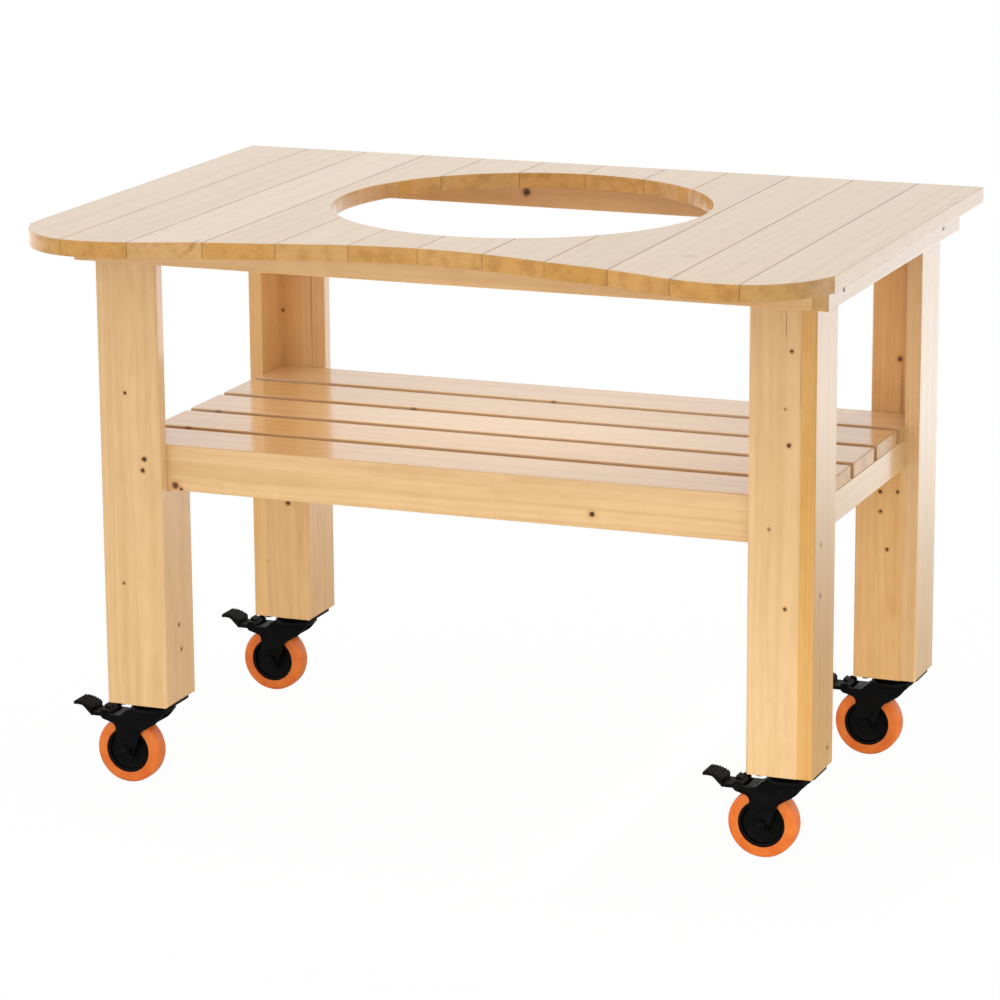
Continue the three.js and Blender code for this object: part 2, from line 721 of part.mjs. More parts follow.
function casterPedal(place) {
  const body = joined([pedalPad(), pedalArm(), pedalKnuckle(), pedalTab(), pedalShoe()]);
  const bore = discAlongY(PEDAL_PIN_RADIUS + PEDAL_PIN_GAP, PAD_WIDTH, SMALL_FACETS)
    .translate(-PIVOT_BACK, 0, PIVOT_HEIGHT);
  return named(`brake_pedal_${place}`, toGeometry(body.subtract(toManifold(bore))), blackPlastic());
}

function caster(place, sideX, sideY) {
  const group = new THREE.Group();
  group.position.set(sideX * LEG_CENTRE_X, sideY * LEG_CENTRE_Y, 0);
  group.add(casterPlate(place), casterFork(place), casterHub(place), casterTread(place), casterPedal(place));
  return group;
}

// Whole table

const CORNERS = [
  ['front_left', -1, -1],
  ['front_right', 1, -1],
  ['back_left', -1, 1],
  ['back_right', 1, 1],
];

function kamadoGrillTable() {
  const table = new THREE.Group();
  table.add(...worktop(), ...apron(), ...shelf());
  for (const [place, sideX, sideY] of CORNERS) {
    table.add(leg(place, sideX, sideY), caster(place, sideX, sideY));
  }
  const left = Math.min(-WORKTOP_HALF_LENGTH, -LEG_CENTRE_X - PEDAL_REACH);
  const right = WORKTOP_HALF_LENGTH;
  const front = Math.min(...FRONT_EDGE_POINTS.map((point) => point.y));
  table.position.set(-(left + right) / 2, -(front + WORKTOP_BACK) / 2, 0);
  const root = new THREE.Group();
  root.add(table);
  return root;
}

export default kamadoGrillTable();
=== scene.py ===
# %% [markdown]
# # Kamado grill table
# A wheeled timber table for a kamado grill: planed spruce boards with a big round cut-out, a slatted
# shelf, and four swivel casters with brake pedals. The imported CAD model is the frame. Wooden pieces keep
# the CAD's shapes with softened shading, and the casters are remade with the roundings and fasteners of
# the real ones. Everything is in metres, with +Z up and the floor at zero.

import math

import bmesh
import bpy
from mathutils import Matrix, Vector


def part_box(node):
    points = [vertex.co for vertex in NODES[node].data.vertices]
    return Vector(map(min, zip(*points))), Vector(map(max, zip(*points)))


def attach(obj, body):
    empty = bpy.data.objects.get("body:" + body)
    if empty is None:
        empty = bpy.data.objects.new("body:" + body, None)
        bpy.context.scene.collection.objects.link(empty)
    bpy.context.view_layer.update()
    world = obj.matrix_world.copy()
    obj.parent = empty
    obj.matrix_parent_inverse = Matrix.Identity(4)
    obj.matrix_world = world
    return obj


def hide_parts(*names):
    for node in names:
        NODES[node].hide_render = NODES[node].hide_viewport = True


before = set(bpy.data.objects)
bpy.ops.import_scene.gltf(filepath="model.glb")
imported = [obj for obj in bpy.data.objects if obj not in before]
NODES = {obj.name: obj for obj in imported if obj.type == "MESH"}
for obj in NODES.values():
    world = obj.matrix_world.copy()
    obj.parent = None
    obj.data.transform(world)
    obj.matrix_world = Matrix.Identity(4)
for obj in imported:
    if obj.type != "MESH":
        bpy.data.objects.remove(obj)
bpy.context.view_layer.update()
PLACES = ["front_left", "front_right", "back_left", "back_right"]
MM = 0.001

# %% [markdown]
# ## Helpers
# Colours are written as sRGB hex, as a designer reads them from a swatch, and Blender wants them linear.
# One function adds a node to a tree with its settings and links, so each material below reads as a list of
# what feeds what. The function it calls for the links also fills in a shader that is already there.


# %% Colour and node helpers
def linear(code):
    """An sRGB hex colour as the linear RGBA that Blender's sockets take."""
    channels = [int(code[i : i + 2], 16) / 255 for i in (1, 3, 5)]
    return [c / 12.92 if c <= 0.04045 else ((c + 0.055) / 1.055) ** 2.4 for c in channels] + [1.0]


def feed(tree, node, **inputs):
    """Fills in inputs of a node. Each takes a value, an output socket, or a node, whose first live output
    is linked. Its name has _ for a space, and in_0, in_1 pick a live input by place."""
    live = [socket for socket in node.inputs if socket.enabled]
    for name, value in inputs.items():
        place = name.removeprefix("in_")
        if place.isdigit():
            socket = live[int(place)]
        else:
            socket = next(s for s in live if s.name == name.replace("_", " "))
        if isinstance(value, bpy.types.Node):
            value = next(s for s in value.outputs if s.enabled)
        if isinstance(value, bpy.types.NodeSocket):
            tree.links.new(value, socket)
        else:
            socket.default_value = value


def add(tree, kind, settings=None, **inputs):
    """A new node of a kind, with its settings, or just the name of its operation, and its inputs."""
    node = tree.nodes.new(f"ShaderNode{kind}")
    if isinstance(settings, str):
        settings = {"operation": settings}
    for name, value in (settings or {}).items():
        setattr(node, name, value)
    feed(tree, node, **inputs)
    return node


def new_material(name):
    """An empty node material with a Principled shader on its output."""
    material = bpy.data.materials.new(name)
    material.use_nodes = True
    tree = material.node_tree
    tree.nodes.clear()
    shader = tree.nodes.new("ShaderNodeBsdfPrincipled")
    out = tree.nodes.new("ShaderNodeOutputMaterial")
    tree.links.new(shader.outputs["BSDF"], out.inputs["Surface"])
    return material, tree, shader


def placed(name, data):
    """An object for a mesh, a lamp or a camera, in the scene."""
    made = bpy.data.objects.new(name, data)
    bpy.context.scene.collection.objects.link(made)
    return made


# Settings that many nodes share.
SMOOTH = {"interpolation_type": "SMOOTHSTEP"}
COLOURS = {"data_type": "RGBA"}
WHITE = (1, 1, 1, 1)

# %% [markdown]
# ## Camera
# The photograph looks down at the table from its right front corner. The camera's place, its turn and its
# long lens were solved from the table's own corners, with the photograph taken as 1000 by 1000 pixels.

# %% Camera
IMAGE_SIZE = 1000
SENSOR = 36.0
FOCAL_PIXELS = 4090.8
LEGS_CENTRE = Vector((10.375, 76.609, 0.0)) * MM
CAMERA_PLACE = Vector((2112.6, -5404.4, 1851.1)) * MM
CAMERA_YAW = math.radians(21.708)
CAMERA_PITCH = math.radians(13.938)
CAMERA_ROLL = math.radians(-0.379)
CAMERA_REACH = 100.0

camera = placed("camera", bpy.data.cameras.new("camera"))
camera.data.sensor_width = SENSOR
camera.data.lens = FOCAL_PIXELS * SENSOR / IMAGE_SIZE
camera.data.clip_end = CAMERA_REACH
camera.matrix_world = (
    Matrix.Translation(LEGS_CENTRE + CAMERA_PLACE)
    @ Matrix.Rotation(CAMERA_YAW, 4, "Z")
    @ Matrix.Rotation(math.pi / 2 - CAMERA_PITCH, 4, "X")
    @ Matrix.Rotation(CAMERA_ROLL, 4, "Z")
)
bpy.context.scene.camera = camera
bpy.context.scene.view_settings.view_transform = "Standard"
print("camera at", [round(v, 3) for v in camera.location], "lens", round(camera.data.lens, 1), "mm")

# %% [markdown]
# ## Studio
# The table stands on a white sweep: a floor that curves up into a wall far behind it. Floor, wall and world
# show as white to the camera and in the lacquer's gloss. The room's own white light does most of the work.
# Three strips near the floor brighten the feet of the legs, and a weak panel under the worktop stands for
# the light that a white studio throws in there. A black flag on the right holds part of the light back.

# %% Sweep
FLOOR_SIDE = 14.0
FLOOR_FRONT = -9.0
FLOOR_BACK = 16.0
SWEEP_RADIUS = 3.0
WALL_TOP = 9.0
SWEEP_STEPS = 16

sweep_mesh = bpy.data.meshes.new("studio_sweep")
bm = bmesh.new()
corner = bm.verts.new((-FLOOR_SIDE, FLOOR_BACK, 0))
front = bm.verts.new((-FLOOR_SIDE, FLOOR_FRONT, 0))
bm.edges.new((corner, front))
turn = bmesh.ops.spin(
    bm,
    geom=[corner],
    cent=(0, FLOOR_BACK, SWEEP_RADIUS),
    axis=(1, 0, 0),
    dvec=(0, 0, 0),
    angle=math.pi / 2,
    steps=SWEEP_STEPS,
    use_merge=False,
)
wall_foot = [v for v in turn["geom_last"] if isinstance(v, bmesh.types.BMVert)][0]
wall = bmesh.ops.extrude_vert_indiv(bm, verts=[wall_foot])
bmesh.ops.translate(bm, verts=wall["verts"], vec=(0, 0, WALL_TOP - SWEEP_RADIUS))
side = bmesh.ops.extrude_edge_only(bm, edges=bm.edges[:])
bmesh.ops.translate(
    bm, verts=[v for v in side["geom"] if isinstance(v, bmesh.types.BMVert)], vec=(2 * FLOOR_SIDE, 0, 0)
)
bmesh.ops.recalc_face_normals(bm, faces=bm.faces)
bm.to_mesh(sweep_mesh)
bm.free()
for polygon in sweep_mesh.polygons:
    polygon.use_smooth = True
sweep = placed("studio_sweep", sweep_mesh)
print("sweep faces:", len(sweep_mesh.polygons))

# %% Sweep finish
# Matt white paper. To the camera it glows, which gives the white background without more light on the
# table, and its own diffuse part keeps the table's shadow. In the gloss of the lacquer it is dim on the
# photographer's side and brightest some metres behind the table, so front faces keep their warm colour and
# the right-hand faces shine, most of all near their tops, as in the photograph.
SWEEP_WHITE = "#F7F7F7"
SWEEP_GLOW = 0.965
PAPER_ROUGHNESS = 0.9
# The gloss goes by the distance from a point on the floor 3 m in front of the table. It rises from near to
# middle, and falls from fade to far.
CAMERA_SIDE = (0.0, 3.0, 0.0)
NEAR_METRES = 3.6
MIDDLE_METRES = 6.0
FADE_METRES = 9.0
FAR_METRES = 16.0
NEAR_GLOSS = 0.3
MIDDLE_GLOSS = 1.6
FAR_GLOSS = 0.88

paper, tree, shader = new_material("white_paper_sweep")
feed(tree, shader, Base_Color=linear(SWEEP_WHITE), Roughness=PAPER_ROUGHNESS, Specular_IOR_Level=0.0)
rays = add(tree, "LightPath")
place = add(tree, "TexCoord")
shifted = add(tree, "VectorMath", "ADD", in_0=place.outputs["Object"], in_1=CAMERA_SIDE)
away = add(tree, "VectorMath", "LENGTH", in_0=shifted)
rise = add(
    tree, "MapRange", SMOOTH,
    Value=away, From_Min=NEAR_METRES, From_Max=MIDDLE_METRES, To_Min=NEAR_GLOSS, To_Max=MIDDLE_GLOSS,
)
fade = add(
    tree, "MapRange", SMOOTH,
    Value=away, From_Min=FADE_METRES, From_Max=FAR_METRES, To_Min=1.0, To_Max=FAR_GLOSS / MIDDLE_GLOSS,
)
gloss = add(tree, "Math", "MULTIPLY", in_0=rise, in_1=fade)
mirrored = add(tree, "Emission", Color=WHITE, Strength=gloss)
in_gloss = add(tree, "MixShader", in_0=rays.outputs["Is Glossy Ray"], in_1=shader, in_2=mirrored)
glow = add(tree, "Emission", Color=WHITE, Strength=1.0)
share = add(tree, "Math", "MULTIPLY", in_0=rays.outputs["Is Camera Ray"], in_1=SWEEP_GLOW)
blend = add(tree, "MixShader", in_0=share, in_1=in_gloss, in_2=glow)
feed(tree, tree.nodes["Material Output"], Surface=blend)
sweep_mesh.materials.append(paper)
print("sweep gloss, near to far:", NEAR_GLOSS, MIDDLE_GLOSS, FAR_GLOSS)

# %% World
WORLD_LIGHT = 1.08
world = bpy.data.worlds.new("studio")
bpy.context.scene.world = world
world.use_nodes = True
tree = world.node_tree
tree.nodes.clear()
rays = add(tree, "LightPath")
seen = add(tree, "Math", "MAXIMUM", in_0=rays.outputs["Is Camera Ray"], in_1=rays.outputs["Is Glossy Ray"])
soft = add(tree, "Background", Color=WHITE, Strength=WORLD_LIGHT)
white = add(tree, "Background", Color=WHITE, Strength=1.0)
blend = add(tree, "MixShader", in_0=seen, in_1=soft, in_2=white)
add(tree, "OutputWorld", Surface=blend)
print("world light:", WORLD_LIGHT)

# %% Lamps
# Name, place, the point it faces, width and height in metres, and power in watts.
LAMPS = [
    ("front_floor_strip", (0.3, -0.8, 0.06), (0.3, -0.2, 0.22), 1.5, 0.12, 2.1),
    ("right_floor_strip", (0.95, 0.1, 0.04), (0.5, 0.1, 0.2), 1.1, 0.1, 1.9),
    ("middle_floor_strip", (0.25, 0.1, 0.04), (-0.5, 0.1, 0.3), 1.0, 0.1, 0.6),
    ("under_top_panel", (0, 0.05, 0.8), (0, 0.05, 0), 0.8, 0.4, 0.85),
]
for name, place, aim, width, height, power in LAMPS:
    lamp = bpy.data.lights.new(name, "AREA")
    lamp.shape = "RECTANGLE"
    lamp.size = width
    lamp.size_y = height
    lamp.energy = power
    panel = placed(name, lamp)
    panel.location = place
    panel.rotation_euler = (Vector(aim) - Vector(place)).to_track_quat("-Z", "Y").to_euler()
    # It works close to the table, so it is hidden from the camera and the gloss.
    panel.visible_camera = False
    panel.visible_glossy = False
print("lamps:", [name for name, *_ in LAMPS])

# %% Black flag
# A black cloth on the right keeps the room's light off the right-hand faces, so they are paler than the
# front ones by their gloss and not by more light. It only blocks light: camera and gloss don't see it.
FLAG_SIZE = (2.6, 1.4)
FLAG_PLACE = (1.7, 0.2, 1.07)
FLAG_BLACK = "#101010"
FLAG_FOLD = "#1C1C1C"
# Threads across the cloth.
FLAG_WEAVE = 400.0
FLAG_ROUGHNESS = 0.9

flag_mesh = bpy.data.meshes.new("black_flag")
bm = bmesh.new()
bmesh.ops.create_grid(bm, x_segments=1, y_segments=1, size=0.5)
bmesh.ops.scale(bm, verts=bm.verts, vec=(*FLAG_SIZE, 1))
bmesh.ops.rotate(bm, verts=bm.verts, cent=(0, 0, 0), matrix=Matrix.Rotation(math.pi / 2, 3, "X"))
bmesh.ops.rotate(bm, verts=bm.verts, cent=(0, 0, 0), matrix=Matrix.Rotation(-math.pi / 2, 3, "Z"))
bmesh.ops.translate(bm, verts=bm.verts, vec=FLAG_PLACE)
bm.to_mesh(flag_mesh)
bm.free()
cloth, tree, shader = new_material("black_cloth_flag")
weave = add(tree, "TexNoise", Scale=FLAG_WEAVE, Detail=1.0)
fold = add(tree, "Mix", COLOURS, Factor=weave, A=linear(FLAG_BLACK), B=linear(FLAG_FOLD))
feed(tree, shader, Base_Color=fold, Roughness=FLAG_ROUGHNESS)
flag_mesh.materials.append(cloth)
flag = placed("black_flag", flag_mesh)
flag.visible_camera = False
flag.visible_glossy = False
print("flag at", FLAG_PLACE)

# %% [markdown]
# ## Lacquered spruce
# The timber is planed spruce under clear gloss lacquer. A board is cut out of a log, so its figure is not
# a flat picture: growth rings are sleeves round the log's pith, and each face of the board shows where
# those sleeves come out. One node group builds the log. It takes a point in the log's own millimetres,
# with the pith along Z, and gives the colour and a small relief. A flat-sawn board lies far to one side of
# the pith and shows flames, a board near the pith shows straight lines, and a sawn end shows arcs. The
# lacquer and the soft light keep all of that faint: what the eye gets first is one warm, even tone per
# board, then a few wide streaks. Knots are branches that cross the rings: a second group gives one knot,
# a dark ragged core in a pale halo.

# %% Wood group
EARLY_WOOD = "#E6C08B"
LATE_WOOD = "#C9995F"
END_EARLY = "#D2A05C"
END_LATE = "#AC7838"
# Spacings and the sizes of the patterns' grains are in mm. A share is how far a pattern darkens the wood.
RING_SPACING = 4.6
RING_WOBBLE = 9.0
RING_DRIFT = 2.4
DRIFT_SPACING = 22.0
WOBBLE_ACROSS = 55.0
WOBBLE_ALONG = 420.0
FIBRE_ACROSS = 1.3
FIBRE_ALONG = 45.0
STREAK_ACROSS = 13.0
STREAK_ALONG = 520.0
FLECK_ACROSS = 20.0
FLECK_ALONG = 34.0
RING_SHARE = 0.17
STREAK_SHARE = 0.28
FLECK_SHARE = 0.13
END_RING_SHARE = 0.15
END_CLOUD_SHARE = 3.8
GRAIN_ROUGHNESS = 0.55
# Where in a ring, from 0 to 1, the late wood starts, is darkest, and starts to end.
LATE_START = 0.3
LATE_DARKEST = 0.9
LATE_STOP = 0.88
FIBRE_DARK = 0.98
FIBRE_PALE = 1.015
RING_RELIEF = 0.4
FIBRE_RELIEF = 0.6


def stretched_noise(tree, point, across, along, detail, seed):
    """Noise drawn out along the grain: its grains are `across` wide and `along` long, in mm."""
    squeezed = add(tree, "VectorMath", "MULTIPLY", in_0=point, in_1=(1 / across, 1 / across, 1 / along))
    return add(
        tree, "TexNoise", {"noise_dimensions": "4D"},
        Vector=squeezed, W=seed, Scale=1.0, Detail=detail, Roughness=GRAIN_ROUGHNESS,
    )


def group_sockets(group, side, sockets):
    """Adds sockets, each a name and a kind, to one side of a group."""
    for name, kind in sockets:
        group.interface.new_socket(name, in_out=side, socket_type=f"NodeSocket{kind}")


def spruce_log():
    """The group: Point, Seed and End in; Colour and Relief out."""
    group = bpy.data.node_groups.new("spruce_log", "ShaderNodeTree")
    group_sockets(group, "INPUT", (("Point", "Vector"), ("Seed", "Float"), ("End", "Float")))
    group_sockets(group, "OUTPUT", (("Colour", "Color"), ("Relief", "Float")))
    given = group.nodes.new("NodeGroupInput").outputs
    point, seed = given["Point"], given["Seed"]

    # The distance from the pith, pushed in and out by the wobble of the trunk.
    wobble = stretched_noise(group, point, WOBBLE_ACROSS, WOBBLE_ALONG, 2.0, seed)
    flat = add(group, "VectorMath", "MULTIPLY", in_0=point, in_1=(1, 1, 0))
    trunk = add(group, "VectorMath", "LENGTH", in_0=flat)
    radius = add(group, "Math", "MULTIPLY_ADD", in_0=wobble, in_1=2 * RING_WOBBLE, in_2=trunk)
    # Good and bad summers: the rings' spacing drifts with the radius.
    summers = add(group, "Math", "MULTIPLY_ADD", in_0=radius, in_1=1 / DRIFT_SPACING, in_2=seed)
    drift = add(group, "TexNoise", {"noise_dimensions": "1D"}, W=summers, Scale=1.0, Detail=1.0)
    even = add(group, "Math", "MULTIPLY", in_0=radius, in_1=1 / RING_SPACING)
    rings = add(group, "Math", "MULTIPLY_ADD", in_0=drift, in_1=RING_DRIFT, in_2=even)
    phase = add(group, "Math", "FRACT", in_0=rings)
    # Early wood darkens slowly into the late wood's line, which ends sharply.
    rise = add(group, "MapRange", SMOOTH, Value=phase, From_Min=LATE_START, From_Max=LATE_DARKEST)
    fall = add(
        group, "MapRange", SMOOTH,
        Value=phase, From_Min=LATE_STOP, From_Max=1.0, To_Min=1.0, To_Max=0.0,
    )
    late = add(group, "Math", "MULTIPLY", in_0=rise, in_1=fall)

    fibre = stretched_noise(group, point, FIBRE_ACROSS, FIBRE_ALONG, 3.0, seed)
    wide = stretched_noise(group, point, STREAK_ACROSS, STREAK_ALONG, 2.0, seed)
    streak = add(group, "MapRange", SMOOTH, Value=wide, From_Min=0.35, From_Max=0.7, To_Max=STREAK_SHARE)
    cloud = stretched_noise(group, point, FLECK_ACROSS, FLECK_ALONG, 2.0, seed)
    fleck = add(group, "MapRange", SMOOTH, Value=cloud, From_Min=0.4, From_Max=0.7, To_Max=FLECK_SHARE)
    patch = add(group, "Math", "ADD", in_0=streak, in_1=fleck)
    figure = add(group, "Math", "MULTIPLY_ADD", in_0=late, in_1=RING_SHARE, in_2=patch)
    face = add(group, "Mix", COLOURS, Factor=figure, A=linear(EARLY_WOOD), B=linear(LATE_WOOD))
    end_rings = add(group, "Math", "MULTIPLY", in_0=late, in_1=END_RING_SHARE)
    arcs = add(group, "Math", "MULTIPLY_ADD", in_0=fleck, in_1=END_CLOUD_SHARE, in_2=end_rings)
    sawn = add(group, "Mix", COLOURS, Factor=arcs, A=linear(END_EARLY), B=linear(END_LATE))
    wood = add(group, "Mix", COLOURS, Factor=given["End"], A=face, B=sawn)
    shade = add(
        group, "MapRange", SMOOTH,
        Value=fibre, From_Min=0.3, From_Max=0.7, To_Min=FIBRE_DARK, To_Max=FIBRE_PALE,
    )
    toned = add(group, "VectorMath", "SCALE", in_0=wood, Scale=shade)
    raised = add(group, "Math", "MULTIPLY", in_0=late, in_1=RING_RELIEF)
    relief = add(group, "Math", "MULTIPLY_ADD", in_0=fibre, in_1=FIBRE_RELIEF, in_2=raised)
    feed(group, group.nodes.new("NodeGroupOutput"), Colour=toned, Relief=relief)
    return group


SPRUCE_LOG = spruce_log()
print("wood group nodes:", len(SPRUCE_LOG.nodes))

# %% Knot group
KNOT_CORE = "#3E1F06"
KNOT_SKIN = "#84501C"
KNOT_HALO = "#D79A55"
KNOT_RAGGED = 0.9
RAGGED_SPACING = 3.2
# From the outside in: the halo, the ring of skin and the core. Each has its colour, the distance at which
# it is full, the distance at which it ends, both in knot radii, and its strength.
KNOT_RINGS = (
    (KNOT_HALO, 1.0, 2.4, 0.45), (KNOT_SKIN, 0.8, 1.35, 0.8), (KNOT_CORE, 0.45, 0.95, 1.0),
)


def knot_group():
    """One knot: Point, Centre and Size in mm, Depth (how dark it is) and Colour in; Colour out."""
    group = bpy.data.node_groups.new("spruce_knot", "ShaderNodeTree")
    group_sockets(group, "INPUT", (("Point", "Vector"), ("Centre", "Vector"), ("Size", "Vector")))
    group_sockets(group, "INPUT", (("Depth", "Float"), ("Colour", "Color")))
    group_sockets(group, "OUTPUT", (("Colour", "Color"),))
    given = group.nodes.new("NodeGroupInput").outputs
    offset = add(group, "VectorMath", "SUBTRACT", in_0=given["Point"], in_1=given["Centre"])
    ragged = add(
        group, "TexNoise", {"noise_dimensions": "3D"},
        Vector=given["Point"], Scale=1 / RAGGED_SPACING, Detail=2.0,
    )
    ratio = add(group, "VectorMath", "DIVIDE", in_0=offset, in_1=given["Size"])
    span = add(group, "VectorMath", "LENGTH", in_0=ratio)
    centred = add(group, "Math", "SUBTRACT", in_0=span, in_1=KNOT_RAGGED / 2)
    distance = add(group, "Math", "MULTIPLY_ADD", in_0=ragged, in_1=KNOT_RAGGED, in_2=centred)
    colour = given["Colour"]
    for tint, full, gone, strength in KNOT_RINGS:
        inside = add(
            group, "MapRange", SMOOTH,
            Value=distance, From_Min=full, From_Max=gone, To_Min=strength, To_Max=0.0,
        )
        share = add(group, "Math", "MULTIPLY", in_0=inside, in_1=given["Depth"])
        colour = add(group, "Mix", COLOURS, Factor=share, A=colour, B=linear(tint))
    feed(group, group.nodes.new("NodeGroupOutput"), Colour=colour)
    return group


SPRUCE_KNOT = knot_group()
print("knot group nodes:", len(SPRUCE_KNOT.nodes))

# %% Seams
# The brown of dirty joints. It is also the colour of the painted shade on the slats' front edges.
SEAM_AND_SHADE_BROWN = "#96765A"
SEAM_CORE_MM = 0.4
SEAM_MM = 2.0
SEAM_PATCH_MM = 170.0
# How much of a seam is left on the upright face below it.
SEAM_BELOW = 0.25


def seam_lines(tree, normal, millimetres, colour, left, right):
    """Darkens a worktop board's top along its two long edges, where dust and lacquer fill the joint, in
    some places more than in others. Each side is (X of the edge in mm, strength)."""
    up = add(tree, "VectorMath", "DOT_PRODUCT", in_0=normal, in_1=(0, 0, 1))
    upper = add(tree, "MapRange", Value=up, From_Min=0.2, From_Max=0.6, To_Min=SEAM_BELOW)
    patch = add(tree, "TexNoise", Vector=millimetres, Scale=1 / SEAM_PATCH_MM, Detail=2.0)
    worn = add(tree, "MapRange", Value=patch, From_Min=0.35, From_Max=0.6, To_Min=0.45, To_Max=1.1)
    seen = add(tree, "Math", "MULTIPLY", in_0=worn, in_1=upper)
    split = add(tree, "SeparateXYZ", Vector=millimetres)
    for edge, strength in (left, right):
        gap = add(tree, "Math", "SUBTRACT", in_0=split.outputs["X"], in_1=edge)
        near = add(tree, "Math", "ABSOLUTE", in_0=gap)
        line = add(
            tree, "MapRange", SMOOTH,
            Value=near, From_Min=SEAM_CORE_MM, From_Max=SEAM_MM, To_Min=strength, To_Max=0.0,
        )
        share = add(tree, "Math", {"operation": "MULTIPLY", "use_clamp": True}, in_0=line, in_1=seen)
        colour = add(tree, "Mix", COLOURS, Factor=share, A=colour, B=linear(SEAM_AND_SHADE_BROWN))
    return colour


# %% Board material
GRAIN_TURN = {"X": (0, -math.pi / 2, 0), "Y": (math.pi / 2, 0, 0), "Z": (0, 0, 0)}
GRAIN_AXIS = {"X": (1, 0, 0), "Y": (0, 1, 0), "Z": (0, 0, 1)}
SEED_STEP = 977.0
LACQUER_IOR = 1.52
LACQUER_ROUGHNESS = 0.12
# Sawn ends drink the lacquer, so they shine less than the planed faces.
END_LACQUER = 0.4
WOOD_IOR = 1.5
WOOD_ROUGHNESS = 0.3
RELIEF_DEPTH = 0.00004
RELIEF_STRENGTH = 0.5
# What one unit of warmth does to the hue and the saturation. A hue of 0.5 is no change.
SAME_HUE = 0.5
WARM_HUE = 0.003
WARM_SATURATION = 0.2


def spruce(
    name, middle, grain, seed, pith, tone, warmth, knots,
    seams=(), end_wood=1.0, painted_front_shade=0.0, sawn_sides=0.0,
):
    """Clear-lacquered spruce for one board with its grain along X, Y or Z. pith is the log's centre from
    the board's middle, in mm. end_wood says how far the ends look sawn, sawn_sides says it of the upright
    sides, as on the worktop's cut outline, and the front-edge argument how far the front edge is darkened
    with painted shade, which stands for the shade of a narrow gap in front of it."""
    material, tree, shader = new_material(name)
    place = add(tree, "TexCoord")
    here, normal = place.outputs["Object"], place.outputs["Normal"]
    turn_x, turn_y, _ = GRAIN_TURN[grain]
    turned = Vector(middle) / MM
    turned.rotate(Matrix.Rotation(turn_x, 3, "X") @ Matrix.Rotation(turn_y, 3, "Y"))
    mapping = add(
        tree, "Mapping", {"vector_type": "POINT"},
        Vector=here,
        Location=(-turned.x - pith[0], -turned.y - pith[1], -turned.z + SEED_STEP * seed),
        Rotation=GRAIN_TURN[grain],
        Scale=(1 / MM, 1 / MM, 1 / MM),
    )
    facing = add(tree, "VectorMath", "DOT_PRODUCT", in_0=normal, in_1=GRAIN_AXIS[grain])
    along = add(tree, "Math", "ABSOLUTE", in_0=facing)
    if sawn_sides:
        level = add(tree, "VectorMath", "DOT_PRODUCT", in_0=normal, in_1=(0, 0, 1))
        tilt = add(tree, "Math", "ABSOLUTE", in_0=level)
        side = add(tree, "Math", "SUBTRACT", in_0=1.0, in_1=tilt)
        sawn = add(tree, "Math", "MULTIPLY", in_0=side, in_1=sawn_sides)
        along = add(tree, "Math", "MAXIMUM", in_0=along, in_1=sawn)
    end = add(tree, "MapRange", SMOOTH, Value=along, From_Min=0.15, From_Max=0.5, To_Max=end_wood)
    log = add(tree, "Group", {"node_tree": SPRUCE_LOG}, Point=mapping, Seed=seed, End=end)
    colour = log.outputs["Colour"]
    millimetres = add(tree, "VectorMath", "SCALE", in_0=here, Scale=1 / MM)
    for centre, size, depth in knots:
        colour = add(
            tree, "Group", {"node_tree": SPRUCE_KNOT},
            Point=millimetres, Centre=centre, Size=size, Depth=depth, Colour=colour,
        )
    # Painted shade: a front edge seen only down the narrow gap in front of it is darkened towards the joints'
    # brown, as the shade in the gap would darken it.
    if painted_front_shade:
        front = add(tree, "VectorMath", "DOT_PRODUCT", in_0=normal, in_1=(0, -1, 0))
        dust_and_gap_shade = add(tree, "MapRange", Value=front, From_Min=0.3, From_Max=0.8, To_Max=painted_front_shade)
        colour = add(tree, "Mix", COLOURS, Factor=dust_and_gap_shade, A=colour, B=linear(SEAM_AND_SHADE_BROWN))
    if seams:
        colour = seam_lines(tree, normal, millimetres, colour, *seams)
    tinted = add(
        tree, "HueSaturation",
        Color=colour, Hue=SAME_HUE - WARM_HUE * warmth, Saturation=1.0 + WARM_SATURATION * warmth, Value=tone,
    )
    bump = add(tree, "Bump", Height=log.outputs["Relief"], Distance=RELIEF_DEPTH, Strength=RELIEF_STRENGTH)
    lacquer = add(tree, "MapRange", Value=end, To_Min=1.0, To_Max=END_LACQUER)
    feed(
        tree, shader, Base_Color=tinted, Roughness=WOOD_ROUGHNESS, IOR=WOOD_IOR, Normal=bump,
        Coat_Weight=lacquer, Coat_IOR=LACQUER_IOR, Coat_Roughness=LACQUER_ROUGHNESS,
    )
    return material


# %% [markdown]
# ## Wooden pieces
# The CAD already has each board's true shape, with eased edges, cut-outs and pockets. The only thing it
# lacks is smooth shading on the curves, so each board is a merged copy of its CAD mesh, shaded smooth where
# two facets turn by a few degrees only. The flat faces stay flat and the eased edges catch a line of light.


# %% Softened copies
CURVE_STEP = math.radians(10)
SAME_PLACE = 1e-6


def softened(node, material):
    """A merged copy of a CAD node with smooth shading, which stands for the node."""
    mesh = NODES[node].data.copy()
    mesh.name = f"{node}_shape"
    mesh.materials.clear()
    mesh.materials.append(material)
    bm = bmesh.new()
    bm.from_mesh(mesh)
    bmesh.ops.remove_doubles(bm, verts=bm.verts, dist=SAME_PLACE)
    bm.to_mesh(mesh)
    bm.free()
    for polygon in mesh.polygons:
        polygon.use_smooth = True
    mesh.set_sharp_from_angle(angle=CURVE_STEP)
    piece = placed(f"{node}_wood", mesh)
    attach(piece, "table")
    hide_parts(node)


def middle_of(node):
    """The middle of a CAD node's box, in metres."""
    low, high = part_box(node)
    return [(a + b) / 2 for a, b in zip(low, high)]


# %% Worktop boards
WORKTOP_SEED = 1.7
